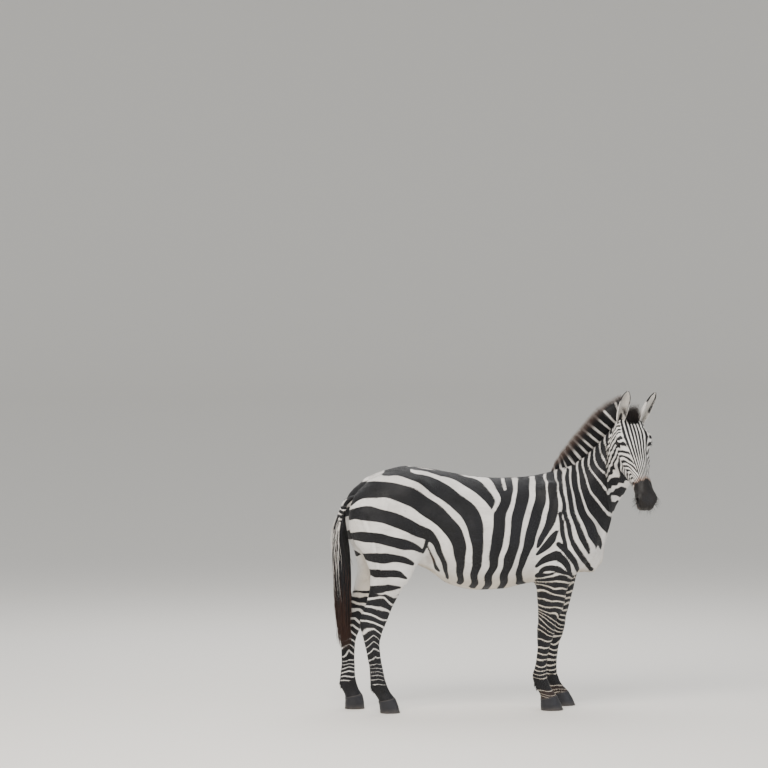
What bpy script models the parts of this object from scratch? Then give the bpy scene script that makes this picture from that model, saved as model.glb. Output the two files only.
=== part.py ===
"""Plains zebra standing with its head turned to its right.

Metres, +X forward, +Y to the animal's left, +Z up, hooves on z = 0.
The animal is first modelled straight: lofted sections are fused, settled on one smooth surface,
then the neck is bent round and thin cuts part the body into its named nodes.
"""
import math

import bmesh
import bpy
import numpy as np
from mathutils import Matrix, Vector

# ------------------------------------------------------------------ driving dimensions
SHIFT = (-0.0904, 0.0791, 0.0)  # brings the middle of the footprint over the origin
GAP = 0.0003  # width of the cuts between nodes
CLEARANCE = 0.0004  # how far a neighbour is swollen before it is taken out of a part
VOXEL = 0.0135  # grid that fuses the lofted forms
BODY_TRIANGLES = 4500

# trunk along X: top line, belly line, half width, where it is widest, roof and keel roundness
TRUNK = np.array([
    (-0.690, 1.118, 0.985, 0.085, 0.50, 2.0, 2.0),
    (-0.620, 1.222, 0.900, 0.165, 0.50, 2.0, 2.0),
    (-0.500, 1.312, 0.850, 0.215, 0.46, 1.95, 2.0),
    (-0.380, 1.346, 0.818, 0.238, 0.46, 1.9, 2.0),
    (-0.270, 1.334, 0.772, 0.248, 0.50, 1.85, 2.0),
    (-0.150, 1.311, 0.690, 0.268, 0.54, 1.9, 2.1),
    (0.000, 1.286, 0.657, 0.283, 0.57, 1.9, 2.2),
    (0.130, 1.277, 0.660, 0.276, 0.57, 1.85, 2.2),
    (0.260, 1.281, 0.685, 0.247, 0.56, 1.75, 2.1),
    (0.380, 1.294, 0.705, 0.205, 0.54, 1.6, 2.0),
    (0.480, 1.290, 0.715, 0.180, 0.52, 1.6, 2.0),
    (0.570, 1.215, 0.742, 0.160, 0.50, 1.8, 2.0),
    (0.640, 1.105, 0.755, 0.130, 0.50, 2.0, 2.0),
    (0.680, 0.990, 0.805, 0.085, 0.50, 2.0, 2.0),
])

# neck along its own axis: crest line, throat line, half width
NECK_ROOT, NECK_PITCH = (0.46, 1.02), math.radians(52)
NECK = np.array([
    (-0.020, 0.170, -0.290, 0.155),
    (0.100, 0.185, -0.262, 0.152),
    (0.212, 0.183, -0.215, 0.135),
    (0.300, 0.142, -0.181, 0.120),
    (0.374, 0.116, -0.160, 0.108),
    (0.472, 0.101, -0.140, 0.094),
    (0.578, 0.094, -0.130, 0.083),
    (0.630, 0.088, -0.120, 0.076),
    (0.668, 0.066, -0.100, 0.060),
])

# skull from poll to lips: top line, bottom line, half width, roof and keel roundness
POLL, HEAD_PITCH = (0.884, 1.628), math.radians(-50)
SKULL = np.array([
    (-0.020, -0.020, -0.110, 0.048, 2.0, 2.0),
    (0.030, 0.004, -0.130, 0.066, 2.2, 2.0),
    (0.080, 0.019, -0.150, 0.081, 2.3, 2.0),
    (0.135, 0.024, -0.165, 0.089, 2.5, 2.0),
    (0.190, 0.019, -0.165, 0.086, 2.5, 2.0),
    (0.250, 0.007, -0.155, 0.073, 2.4, 2.0),
    (0.320, -0.007, -0.140, 0.058, 2.3, 2.2),
    (0.400, -0.019, -0.128, 0.048, 2.2, 2.4),
    (0.460, -0.026, -0.122, 0.048, 2.2, 2.4),
    (0.510, -0.034, -0.118, 0.050, 2.2, 2.4),
    (0.550, -0.052, -0.114, 0.044, 2.1, 2.2),
    (0.572, -0.074, -0.104, 0.026, 2.0, 2.0),
])
# lower jaw along the same axis: top line, bottom line, half width
JAW = np.array([
    (0.020, -0.060, -0.150, 0.050),
    (0.070, -0.060, -0.215, 0.064),
    (0.130, -0.060, -0.244, 0.070),
    (0.200, -0.060, -0.235, 0.066),
    (0.280, -0.060, -0.200, 0.054),
    (0.360, -0.060, -0.168, 0.043),
    (0.440, -0.070, -0.150, 0.036),
    (0.500, -0.080, -0.153, 0.036),
    (0.540, -0.090, -0.148, 0.030),
    (0.556, -0.100, -0.132, 0.018),
])

# legs up from the ground: back, front, inner and outer line, roundness
FORELEG = np.array([
    (-0.020, 0.350, 0.476, 0.053, 0.161, 2.2),
    (0.000, 0.346, 0.471, 0.055, 0.159, 2.2),
    (0.070, 0.343, 0.441, 0.065, 0.149, 2.2),
    (0.080, 0.342, 0.435, 0.069, 0.145, 2.1),
    (0.115, 0.326, 0.408, 0.079, 0.135, 2.0),
    (0.150, 0.306, 0.392, 0.077, 0.139, 2.0),
    (0.190, 0.298, 0.381, 0.074, 0.142, 2.0),
    (0.235, 0.310, 0.380, 0.081, 0.136, 2.0),
    (0.290, 0.320, 0.385, 0.086, 0.134, 2.0),
    (0.350, 0.325, 0.396, 0.085, 0.137, 2.0),
    (0.395, 0.322, 0.412, 0.078, 0.148, 2.2),
    (0.440, 0.322, 0.424, 0.075, 0.154, 2.3),
    (0.490, 0.326, 0.431, 0.075, 0.156, 2.1),
    (0.560, 0.324, 0.452, 0.068, 0.166, 2.0),
    (0.640, 0.318, 0.479, 0.058, 0.180, 2.0),
    (0.700, 0.312, 0.508, 0.050, 0.195, 2.0),
    (0.780, 0.316, 0.560, 0.040, 0.215, 2.0),
    (0.880, 0.340, 0.625, 0.030, 0.222, 2.1),
    (0.980, 0.365, 0.635, 0.030, 0.212, 2.1),
    (1.080, 0.365, 0.590, 0.030, 0.185, 2.1),
    (1.180, 0.365, 0.510, 0.030, 0.140, 2.0),
])
HINDLEG = np.array([
    (-0.020, -0.548, -0.428, 0.063, 0.163, 2.2),
    (0.000, -0.546, -0.434, 0.065, 0.161, 2.2),
    (0.070, -0.556, -0.456, 0.072, 0.152, 2.2),
    (0.080, -0.560, -0.462, 0.075, 0.149, 2.1),
    (0.115, -0.583, -0.488, 0.083, 0.139, 2.0),
    (0.150, -0.600, -0.505, 0.081, 0.143, 2.0),
    (0.195, -0.602, -0.519, 0.078, 0.145, 2.0),
    (0.250, -0.606, -0.530, 0.085, 0.137, 2.0),
    (0.310, -0.617, -0.541, 0.087, 0.136, 2.0),
    (0.370, -0.630, -0.546, 0.086, 0.139, 2.0),
    (0.430, -0.645, -0.536, 0.080, 0.149, 2.1),
    (0.480, -0.660, -0.516, 0.076, 0.155, 2.0),
    (0.510, -0.658, -0.503, 0.080, 0.152, 1.9),
    (0.560, -0.642, -0.484, 0.084, 0.153, 1.8),
    (0.620, -0.622, -0.456, 0.080, 0.170, 1.9),
    (0.690, -0.608, -0.418, 0.062, 0.198, 2.0),
    (0.760, -0.606, -0.378, 0.045, 0.222, 2.1),
    (0.840, -0.632, -0.325, 0.030, 0.240, 2.1),
    (0.930, -0.672, -0.285, 0.018, 0.250, 2.1),
    (1.020, -0.705, -0.275, 0.012, 0.246, 2.1),
    (1.100, -0.714, -0.290, 0.012, 0.228, 2.1),
    (1.180, -0.685, -0.320, 0.012, 0.190, 2.0),
    (1.260, -0.600, -0.360, 0.012, 0.130, 2.0),
])
# how far each foot stands ahead of its square place, and the share of it at each height
REACH = {"foreleg_left": 0.107, "foreleg_right": 0.0, "hindleg_left": -0.165, "hindleg_right": 0.0}
FORE_SWING = (
    (0.0, 0.08, 0.15, 0.30, 0.50, 0.63, 0.75, 0.90, 1.05),
    (1.0, 0.95, 0.87, 0.87, 0.89, 0.84, 0.55, 0.15, 0.0),
)
HIND_SWING = (
    (0.0, 0.10, 0.30, 0.45, 0.60, 0.75, 0.85, 0.95, 1.05),
    (1.0, 0.90, 0.70, 0.54, 0.38, 0.22, 0.10, 0.03, 0.0),
)

# muscles of the left side: centre, radii, nose-down pitch, blend; the right side mirrors them
MUSCLES = (
    ((-0.465, 0.100, 1.192), (0.190, 0.100, 0.108), -0.26, 0.080),  # croup
    ((-0.345, 0.180, 1.220), (0.070, 0.035, 0.055), 0.30, 0.060),  # point of the hip
    ((-0.630, 0.110, 1.060), (0.075, 0.085, 0.150), 0.15, 0.040),  # back of the thigh
    ((-0.440, 0.160, 0.790), (0.055, 0.050, 0.080), -0.30, 0.040),  # stifle
    ((0.455, 0.120, 1.080), (0.085, 0.058, 0.185), -0.42, 0.080),  # shoulder blade
    ((0.560, 0.135, 0.960), (0.085, 0.075, 0.110), -0.20, 0.050),  # point of the shoulder
    ((0.420, 0.160, 0.880), (0.120, 0.058, 0.105), 0.50, 0.050),  # upper arm
    ((0.632, 0.060, 0.842), (0.060, 0.060, 0.092), 0.00, 0.035),  # breast
    ((0.345, 0.130, 0.745), (0.035, 0.040, 0.045), 0.00, 0.030),  # elbow
    ((0.430, 0.140, 0.620), (0.045, 0.046, 0.110), 0.10, 0.030),  # forearm
)
# on the head: place along, above and beside its axis, radii the same way, blend
HEAD_MUSCLES = (
    ((0.135, -0.140, 0.044), (0.085, 0.085, 0.036), 0.030),  # cheek
    ((0.152, -0.014, 0.072), (0.046, 0.026, 0.026), 0.030),  # brow
    ((0.215, -0.072, 0.058), (0.110, 0.018, 0.022), 0.030),  # cheek bone
    ((0.518, -0.068, 0.036), (0.036, 0.026, 0.022), 0.015),  # nostril
    ((0.548, -0.090, 0.012), (0.030, 0.028, 0.028), 0.020),  # upper lip
    ((0.520, -0.138, 0.006), (0.030, 0.022, 0.028), 0.015),  # chin
    ((0.075, -0.020, 0.052), (0.045, 0.030, 0.026), 0.025),  # temple
)
BLEND = {"neck": 0.09, "jaw": 0.025, "head": 0.045, "leg": 0.06}

EYE_PLACE, EYE_RADIUS = (0.170, -0.040, 0.0790), 0.0205

# the turn: planes (point and normal in XZ) where it starts and ends, spine between them, yaw
BASE_PLANE = ((0.455, 1.28), (0.80, 0.60))
HEAD_PLANE = ((0.852, 1.45), (0.994, -0.11))
SPINE_FROM, SPINE_TO = 0.56, 0.866
NECK_TURN, HEAD_TURN = math.radians(-33), math.radians(-80)
SPINE_STEPS = 200

# ears: root on the head, direction, length, and along the ear half width and cup depth
EAR_ROOT = (0.052, -0.010, 0.060)
EAR_AXIS = (0.40, 0.115, 0.90)
EAR_LEAN = 0.215  # both ears lean to the left
EAR_LENGTH, EAR_THICK = 0.210, 0.007
EAR_HALF_WIDTH = ((0.0, 0.18, 0.42, 0.65, 0.87, 1.0), (0.020, 0.026, 0.033, 0.032, 0.025, 0.010))
EAR_CUP = ((0.0, 0.3, 0.7, 1.0), (0.024, 0.026, 0.017, 0.007))

# mane: line along the crest, its height and half thickness at the root
CREST = ((0.425, 1.285), (0.500, 1.300), (0.600, 1.368), (0.680, 1.452), (0.745, 1.532), (0.812, 1.604), (0.862, 1.636))
MANE_HEIGHT = ((0.0, 0.06, 0.2, 0.5, 0.8, 1.0), (0.03, 0.085, 0.120, 0.145, 0.145, 0.120))
MANE_HALF = 0.019
FORELOCK = ((0.010, 0.000), (0.035, 0.010), (0.060, 0.020), (0.085, 0.026))
FORELOCK_HEIGHT = ((0.0, 0.4, 0.75, 1.0), (0.095, 0.085, 0.060, 0.030))
FORELOCK_HALF = 0.030

# tail down its length: centre x, z, half depth along x, half width along y
TAIL = np.array([
    (-0.660, 1.185, 0.030, 0.030),
    (-0.706, 1.158, 0.027, 0.028),
    (-0.734, 1.105, 0.024, 0.024),
    (-0.750, 1.045, 0.028, 0.026),
    (-0.752, 0.985, 0.038, 0.032),
    (-0.747, 0.900, 0.044, 0.036),
    (-0.741, 0.760, 0.046, 0.038),
    (-0.737, 0.600, 0.043, 0.036),
    (-0.733, 0.470, 0.032, 0.026),
    (-0.728, 0.370, 0.016, 0.014),
    (-0.726, 0.330, 0.006, 0.006),
])
DOCK_END = 1.030

# levels of the thin cuts: middle, forward slope of the cut, half size along x and y
CUTS = {
    "foreleg": ((0.435, 0.675, 0.0, 0.150, 0.130), (0.372, 0.432, 0.0, 0.080, 0.070), (0.390, 0.074, 0.22, 0.085, 0.080)),
    "hindleg": ((-0.485, 0.752, 0.0, 0.170, 0.130), (-0.585, 0.500, -0.35, 0.110, 0.070), (-0.512, 0.074, 0.22, 0.085, 0.080)),
}
LEG_MIDDLE = {"foreleg": 0.120, "hindleg": 0.130}

COLOURS = {
    "coat": ((0.60, 0.57, 0.52, 1), 0.75),
    "mane_hair": ((0.10, 0.06, 0.05, 1), 0.70),
    "tail_hair": ((0.03, 0.03, 0.035, 1), 0.65),
    "hoof_horn": ((0.06, 0.055, 0.05, 1), 0.50),
    "eye": ((0.015, 0.010, 0.008, 1), 0.08),
}


# ------------------------------------------------------------------ numbers between stations
def between(x, xs, ys):
    """Monotone cubic through rising stations, level beyond the ends."""
    xs, ys = np.asarray(xs, float), np.asarray(ys, float)
    step, slope = np.diff(xs), np.diff(ys) / np.diff(xs)
    rate = np.zeros_like(ys)
    w1, w2 = 2 * step[1:] + step[:-1], step[1:] + 2 * step[:-1]
    with np.errstate(divide="ignore", invalid="ignore"):
        blended = (w1 + w2) / (w1 / slope[:-1] + w2 / slope[1:])
    rate[1:-1] = np.where(slope[:-1] * slope[1:] > 0, blended, 0.0)
    rate[0], rate[-1] = slope[0], slope[-1]
    x = np.clip(x, xs[0], xs[-1])
    i = np.clip(np.searchsorted(xs, x) - 1, 0, len(xs) - 2)
    t = (x - xs[i]) / step[i]
    ends = ys[i] * (1 + 2 * t) * (1 - t) ** 2 + ys[i + 1] * t * t * (3 - 2 * t)
    return ends + step[i] * (rate[i] * t * (1 - t) ** 2 - rate[i + 1] * t * t * (1 - t))


def columns(x, table):
    return [between(x, table[:, 0], table[:, i]) for i in range(1, table.shape[1])]


def smooth_step(low, high, x):
    t = np.clip((x - low) / (high - low), 0, 1)
    return t * t * (3 - 2 * t)


def smooth_min(a, b, reach):
    share = np.clip(0.5 + 0.5 * (b - a) / reach, 0, 1)
    return b * (1 - share) + a * share - reach * share * (1 - share)


# ------------------------------------------------------------------ the surface as a distance
def ring_distance(across, up, half_across, half_up, power):
    """Distance from a rounded section, measured along the ray from its middle."""
    a, b = np.abs(across) + 1e-7, np.abs(up) + 1e-7
    size = ((a / half_across) ** power + (b / half_up) ** power) ** (1 / power)
    away = np.hypot(a, b)
    return away - away / size


def capped(distance, past_end):
    both = (distance > 0) & (past_end > 0)
    return np.where(both, np.hypot(distance, past_end), np.maximum(distance, past_end))


def ellipsoid_distance(p, centre, radii, pitch):
    q = p - np.array(centre)
    c, s = math.cos(pitch), math.sin(pitch)
    q = np.stack([q[:, 0] * c - q[:, 2] * s, q[:, 1], q[:, 0] * s + q[:, 2] * c], 1)
    k0 = np.linalg.norm(q / radii, axis=1) + 1e-9
    k1 = np.linalg.norm(q / np.square(radii), axis=1) + 1e-9
    return k0 * (k0 - 1) / k1


def loft_distance(along, across, up, table, widest, roof, keel):
    """Distance from a loft whose stations hold its top line, bottom line and half width."""
    lines = columns(along, table)
    top, bottom, half = lines[:3]
    middle = top - (top - bottom) * (lines[3] if widest is None else widest)
    above = up > middle
    power = np.where(above, lines[-2] if roof is None else roof, lines[-1] if keel is None else keel)
    d = ring_distance(across, up - middle, half, np.where(above, top - middle, middle - bottom), power)
    return capped(d, np.maximum(table[0, 0] - along, along - table[-1, 0]))


def slanted(p, root, pitch):
    """Coordinates along and above a slanted axis in the XZ plane."""
    c, s = math.cos(pitch), math.sin(pitch)
    x, z = p[:, 0] - root[0], p[:, 2] - root[1]
    return x * c + z * s, -x * s + z * c


def on_head(u, v, w=0.0):
    """Straight-pose point of a place on the head: along it, above its axis, to its left."""
    c, s = math.cos(HEAD_PITCH), math.sin(HEAD_PITCH)
    return (POLL[0] + u * c - v * s, w, POLL[1] + u * s + v * c)


def leg_parts(name):
    kind = name.split("_")[0]
    side = 1 if name.endswith("left") else -1
    table = FORELEG if kind == "foreleg" else HINDLEG
    return kind, side, table, FORE_SWING if kind == "foreleg" else HIND_SWING


def leg_distance(p, name):
    kind, side, table, swing = leg_parts(name)
    z = p[:, 2]
    x = p[:, 0] - REACH[name] * between(z, *swing)
    back, front, inner, outer, power = columns(z, table)
    across = p[:, 1] * side - (inner + outer) / 2
    d = ring_distance(across, x - (back + front) / 2, (outer - inner) / 2, (front - back) / 2, power)
    return capped(d, np.maximum(table[0, 0] - z, z - table[-1, 0]))


def head_distance(p, mirrored):
    u, v = slanted(p, POLL, HEAD_PITCH)
    skull = loft_distance(u, p[:, 1], v, SKULL, 0.42, None, None)
    jaw = loft_distance(u, p[:, 1], v, JAW, 0.50, 2.6, 2.6)
    d = smooth_min(skull, jaw, BLEND["jaw"])
    for place, (along, above, beside), blend in HEAD_MUSCLES:
        radii = np.array((along, beside, above))
        d = smooth_min(d, ellipsoid_distance(mirrored, on_head(*place), radii, -HEAD_PITCH), blend)
    return d


def body_distance(p):
    """Signed distance from the straight animal's outline, tips of the coat included."""
    mirrored = p * (1, 0, 1) + np.abs(p) * (0, 1, 0)
    u, v = slanted(p, NECK_ROOT, NECK_PITCH)
    neck = loft_distance(u, p[:, 1], v, NECK, 0.55, 1.75, 2.1)
    trunk = loft_distance(p[:, 0], p[:, 1], p[:, 2], TRUNK, None, None, None)
    d = smooth_min(trunk, neck, BLEND["neck"])
    d = smooth_min(d, head_distance(p, mirrored), BLEND["head"])
    for name in REACH:
        d = smooth_min(d, leg_distance(p, name), BLEND["leg"])
    for centre, radii, pitch, blend in MUSCLES:
        d = smooth_min(d, ellipsoid_distance(mirrored, centre, np.array(radii), pitch), blend)
    return d


def settle(p, rounds=6, most=0.02):
    """Moves points onto the surface."""
    e = 1e-4
    for _ in range(rounds):
        d = body_distance(p)
        slope = np.stack([(body_distance(p + step) - d) / e for step in np.eye(3) * e], 1)
        steep = np.maximum((slope * slope).sum(1), 0.05)
        p = p - slope * (np.clip(d, -most, most) / steep)[:, None]
    return p


# ------------------------------------------------------------------ the turn of the neck
def turn_at(t):
    """Yaw at a share t of the neck: an even bend along it, sharper at the first vertebrae."""
    start, end = smooth_step(-0.15, 1.1, 0.0), smooth_step(-0.15, 1.1, 1.0)
    bend = (smooth_step(-0.15, 1.1, t) - start) / (end - start)
    return NECK_TURN * bend + (HEAD_TURN - NECK_TURN) * smooth_step(0.72, 1.0, t)


def beyond(p, plane):
    (x, z), (nx, nz) = plane
    return (p[:, 0] - x) * nx + (p[:, 2] - z) * nz


def turned(p):
    """Straight pose to standing pose."""
    p = np.atleast_2d(np.asarray(p, float))
    base, head = beyond(p, BASE_PLANE), beyond(p, HEAD_PLANE)
    t = np.clip(base / np.maximum(base - head, 1e-6), 0, 1)
    t = np.where(base <= 0, 0.0, np.where(head >= 0, 1.0, t))
    shares = np.linspace(0, 1, SPINE_STEPS + 1)
    bend = turn_at((shares[:-1] + shares[1:]) / 2)
    run = (SPINE_TO - SPINE_FROM) / SPINE_STEPS
    spine_x = SPINE_FROM + np.concatenate([[0], np.cumsum(np.cos(bend)) * run])
    spine_y = np.concatenate([[0], np.cumsum(np.sin(bend)) * run])
    yaw = turn_at(t)
    x, y = p[:, 0] - SPINE_FROM - (SPINE_TO - SPINE_FROM) * t, p[:, 1]
    out = p.copy()
    out[:, 0] = np.interp(t, shares, spine_x) + x * np.cos(yaw) - y * np.sin(yaw)
    out[:, 1] = np.interp(t, shares, spine_y) + x * np.sin(yaw) + y * np.cos(yaw)
    return out + SHIFT


# ------------------------------------------------------------------ mesh helpers
def new_collection(name):
    collection = bpy.data.collections.new(name)
    bpy.context.scene.collection.children.link(collection)
    return collection


def new_object(name, mesh, material=None, collection=None):
    obj = bpy.data.objects.new(name, mesh)
    (collection or PARTS).objects.link(obj)
    if material:
        mesh.materials.append(MATERIALS[material])
    return obj


def mesh_of(points, faces, name):
    mesh = bpy.data.meshes.new(name)
    mesh.from_pydata([tuple(p) for p in points], [], faces)
    mesh.update()
    return mesh


def loft(rings, name):
    """Skin through rings of equal count, closed at both ends; rings run anticlockwise."""
    count = len(rings[0])
    points = [p for ring in rings for p in ring]
    faces = []
    for r in range(len(rings) - 1):
        for i in range(count):
            j = (i + 1) % count
            faces.append((r * count + i, r * count + j, (r + 1) * count + j, (r + 1) * count + i))
    faces.append(tuple(reversed(range(count))))
    faces.append(tuple(range(len(points) - count, len(points))))
    mesh = mesh_of(points, faces, name)
    bm = bmesh.new()
    bm.from_mesh(mesh)
    bmesh.ops.triangulate(bm, faces=bm.faces)
    bmesh.ops.recalc_face_normals(bm, faces=bm.faces)
    bm.to_mesh(mesh)
    bm.free()
    return mesh


def rounded(half_across, half_up, power, count=20):
    """Points of a rounded section."""
    out = []
    for k in range(count):
        a = 2 * math.pi * k / count
        c, s = math.cos(a), math.sin(a)
        out.append((
            half_across * math.copysign(abs(c) ** (2 / power), c),
            half_up * math.copysign(abs(s) ** (2 / power), s),
        ))
    return out


def points_of(mesh):
    flat = np.empty(len(mesh.vertices) * 3)
    mesh.vertices.foreach_get("co", flat)
    return flat.reshape(-1, 3)


def put_points(mesh, points):
    mesh.vertices.foreach_set("co", np.asarray(points, float).ravel())
    mesh.update()


def evaluated(obj):
    graph = bpy.context.evaluated_depsgraph_get()
    graph.update()
    return bpy.data.meshes.new_from_object(obj.evaluated_get(graph))


def apply_all(obj):
    mesh = evaluated(obj)
    obj.modifiers.clear()
    obj.data = mesh


def cut(obj, cutter, operation="DIFFERENCE"):
    step = obj.modifiers.new("cut", "BOOLEAN")
    step.operation = operation
    step.solver = "EXACT"
    step.object = cutter
    apply_all(obj)


def swollen(source, by, name):
    """A cutter: the source pushed out along its normals."""
    mesh = source.data.copy()
    normals = np.empty(len(mesh.vertices) * 3)
    mesh.vertices.foreach_get("normal", normals)
    put_points(mesh, points_of(mesh) + normals.reshape(-1, 3) * by)
    obj = new_object(name, mesh, collection=CUTTERS)
    obj.hide_render = True
    obj.display_type = "WIRE"
    return obj


def trim(obj, neighbours):
    """Takes the neighbours and the clearance round them out of a part."""
    for name in neighbours:
        cut(obj, swollen(bpy.data.objects[name], CLEARANCE, f"{name}_out_of_{obj.name}"))
    return obj


def floor_block():
    """A cutter for everything below the ground."""
    bm = bmesh.new()
    bmesh.ops.create_cube(bm, size=2)
    bmesh.ops.scale(bm, vec=(2.0, 1.0, 0.05), verts=bm.verts)
    bmesh.ops.translate(bm, vec=(0, 0, -0.05), verts=bm.verts)
    mesh = bpy.data.meshes.new("floor_block")
    bm.to_mesh(mesh)
    bm.free()
    obj = new_object("floor_block", mesh, collection=CUTTERS)
    obj.hide_render = True
    obj.display_type = "WIRE"
    return obj


# ------------------------------------------------------------------ forms fused into the body
def slanted_rings(table, root, pitch, widest, roof, keel, steps=14):
    """Rings of a loft along a slanted axis."""
    c, s = math.cos(pitch), math.sin(pitch)
    rings = []
    for u in np.linspace(table[0, 0], table[-1, 0], steps):
        lines = [float(v) for v in columns(np.array(u), table)]
        top, bottom, half = lines[:3]
        middle = top - (top - bottom) * (lines[3] if widest is None else widest)
        ring = []
        for y, v in rounded(half, 1.0, 2.1):
            v = middle + v * (top - middle if v > 0 else middle - bottom)
            ring.append((root[0] + u * c - v * s, y, root[1] + u * s + v * c))
        rings.append(ring)
    return rings


def leg_rings(name, steps=34):
    kind, side, table, swing = leg_parts(name)
    rings = []
    for z in np.linspace(table[0, 0], table[-1, 0], steps):
        back, front, inner, outer, power = [float(v) for v in columns(np.array(z), table)]
        ahead = REACH[name] * float(between(np.array(z), *swing))
        ring = []
        for x, y in rounded((front - back) / 2, (outer - inner) / 2, power):
            ring.append(((back + front) / 2 + ahead + x, side * ((inner + outer) / 2 + y), z))
        rings.append(ring)
    return rings


def ellipsoid_mesh(centre, radii, pitch, side):
    bm = bmesh.new()
    bmesh.ops.create_icosphere(bm, subdivisions=2, radius=1.0)
    bmesh.ops.scale(bm, vec=radii, verts=bm.verts)
    place = Matrix.Translation((centre[0], centre[1] * side, centre[2])) @ Matrix.Rotation(pitch, 4, "Y")
    bmesh.ops.transform(bm, matrix=place, verts=bm.verts)
    mesh = bpy.data.meshes.new("muscle")
    bm.to_mesh(mesh)
    bm.free()
    return mesh


def fused(meshes):
    """One watertight skin round overlapping closed forms."""
    bm = bmesh.new()
    for mesh in meshes:
        bm.from_mesh(mesh)
    joined = bpy.data.meshes.new("joined")
    bm.to_mesh(joined)
    bm.free()
    obj = new_object("body", joined, "coat")
    step = obj.modifiers.new("fuse", "REMESH")
    step.mode = "VOXEL"
    step.voxel_size = VOXEL
    apply_all(obj)
    return obj


def build_body():
    forms = [
        loft(slanted_rings(TRUNK, (0, 0), 0.0, None, None, None, 24), "trunk"),
        loft(slanted_rings(NECK, NECK_ROOT, NECK_PITCH, 0.55, None, None), "neck"),
        loft(slanted_rings(SKULL, POLL, HEAD_PITCH, 0.42, None, None, 18), "skull"),
        loft(slanted_rings(JAW, POLL, HEAD_PITCH, 0.50, None, None), "jaw"),
    ]
    forms += [loft(leg_rings(name), name) for name in REACH]
    for side in (1, -1):
        forms += [ellipsoid_mesh(c, radii, pitch, side) for c, radii, pitch, _ in MUSCLES]
        for (u, v, w), (along, above, beside), _ in HEAD_MUSCLES:
            forms.append(ellipsoid_mesh(on_head(u, v, w), (along, beside, above), -HEAD_PITCH, side))
    body = fused(forms)
    put_points(body.data, settle(points_of(body.data)))
    thin = body.modifiers.new("fewer_faces", "DECIMATE")
    thin.ratio = BODY_TRIANGLES / (2 * len(body.data.polygons))
    apply_all(body)
    put_points(body.data, settle(points_of(body.data), rounds=3))
    cut(body, floor_block())
    return body


# ------------------------------------------------------------------ parts set on the body
def ear_ring(h, side):
    """One section of the cupped ear, in the straight pose."""
    axis = Vector((EAR_AXIS[0], EAR_AXIS[1] * side + EAR_LEAN, EAR_AXIS[2])).normalized()
    face = Vector((0.86, 0.30 * side, -0.40))
    face = (face - axis * face.dot(axis)).normalized()
    across = axis.cross(face) * side
    half = float(between(np.array(h), *EAR_HALF_WIDTH))
    cup = float(between(np.array(h), *EAR_CUP))
    root = Vector(on_head(EAR_ROOT[0], EAR_ROOT[1], EAR_ROOT[2] * side))
    middle = root + axis * (EAR_LENGTH * h - 0.02)
    outer = []
    inner = []
    for k in range(9):
        a = math.radians(-105 + 210 * k / 8)
        out = across * (half * math.sin(a)) - face * (cup * math.cos(a))
        thick = EAR_THICK * (1 - 0.5 * h)
        small, shallow = max(half - thick, 0.002), max(cup - thick, 0.0015)
        into = across * (small * math.sin(a)) - face * (shallow * math.cos(a) - 0.3 * thick)
        outer.append(middle + out)
        inner.append(middle + into)
    return outer + inner[::-1]


def build_ear(side, name):
    rings = [ear_ring(h, side) for h in (0.0, 0.15, 0.3, 0.45, 0.62, 0.80, 0.92, 1.0)]
    mesh = loft([turned([tuple(p) for p in ring]) for ring in rings], name)
    return new_object(name, mesh, "coat")


def upright_fin(line, heights, half, name, lean=0.0):
    """A standing crest of hair along a line in the XZ plane."""
    line = np.array(line)
    lengths = np.concatenate([[0], np.cumsum(np.linalg.norm(np.diff(line, axis=0), axis=1))])
    shares = np.linspace(0, 1, 15)
    rings = []
    for s in shares:
        at = np.array([between(np.array(s * lengths[-1]), lengths, line[:, i]) for i in (0, 1)])
        ahead = np.array([
            between(np.array(min(s + 0.02, 1) * lengths[-1]), lengths, line[:, i]) for i in (0, 1)
        ]) - np.array([between(np.array(max(s - 0.02, 0) * lengths[-1]), lengths, line[:, i]) for i in (0, 1)])
        ahead = ahead / np.linalg.norm(ahead)
        up = np.array((-ahead[1], ahead[0])) + lean * ahead
        high = float(between(np.array(s), *heights))
        ring = []
        for y, rise in ((-1.0, -0.025), (1.0, -0.025), (1.05, 0.3 * high), (0.8, 0.75 * high), (0.35, high),
                        (-0.35, high), (-0.8, 0.75 * high), (-1.05, 0.3 * high)):
            x, z = at + up * rise
            ring.append((x, y * half, z))
        rings.append(turned(ring))
    return new_object(name, loft(rings, name), "mane_hair")


def build_tail():
    rings = []
    turn = np.gradient(TAIL[:, :2], axis=0)
    for (x, z, depth, width), way in zip(TAIL, turn):
        way = way / np.linalg.norm(way)
        across = np.array((-way[1], way[0]))
        ring = []
        for a, b in rounded(depth, width, 2.0, 12):
            px, pz = np.array((x, z)) + across * a
            ring.append((px + SHIFT[0], b + SHIFT[1], pz))
        rings.append(ring)
    return new_object("tail", loft(rings, "tail"), "coat")


def build_eye(side, name):
    bm = bmesh.new()
    bmesh.ops.create_icosphere(bm, subdivisions=3, radius=EYE_RADIUS)
    centre = on_head(EYE_PLACE[0], EYE_PLACE[1], EYE_PLACE[2] * side)
    bmesh.ops.translate(bm, vec=centre, verts=bm.verts)
    mesh = bpy.data.meshes.new(name)
    bm.to_mesh(mesh)
    bm.free()
    return new_object(name, mesh, "eye")


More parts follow.
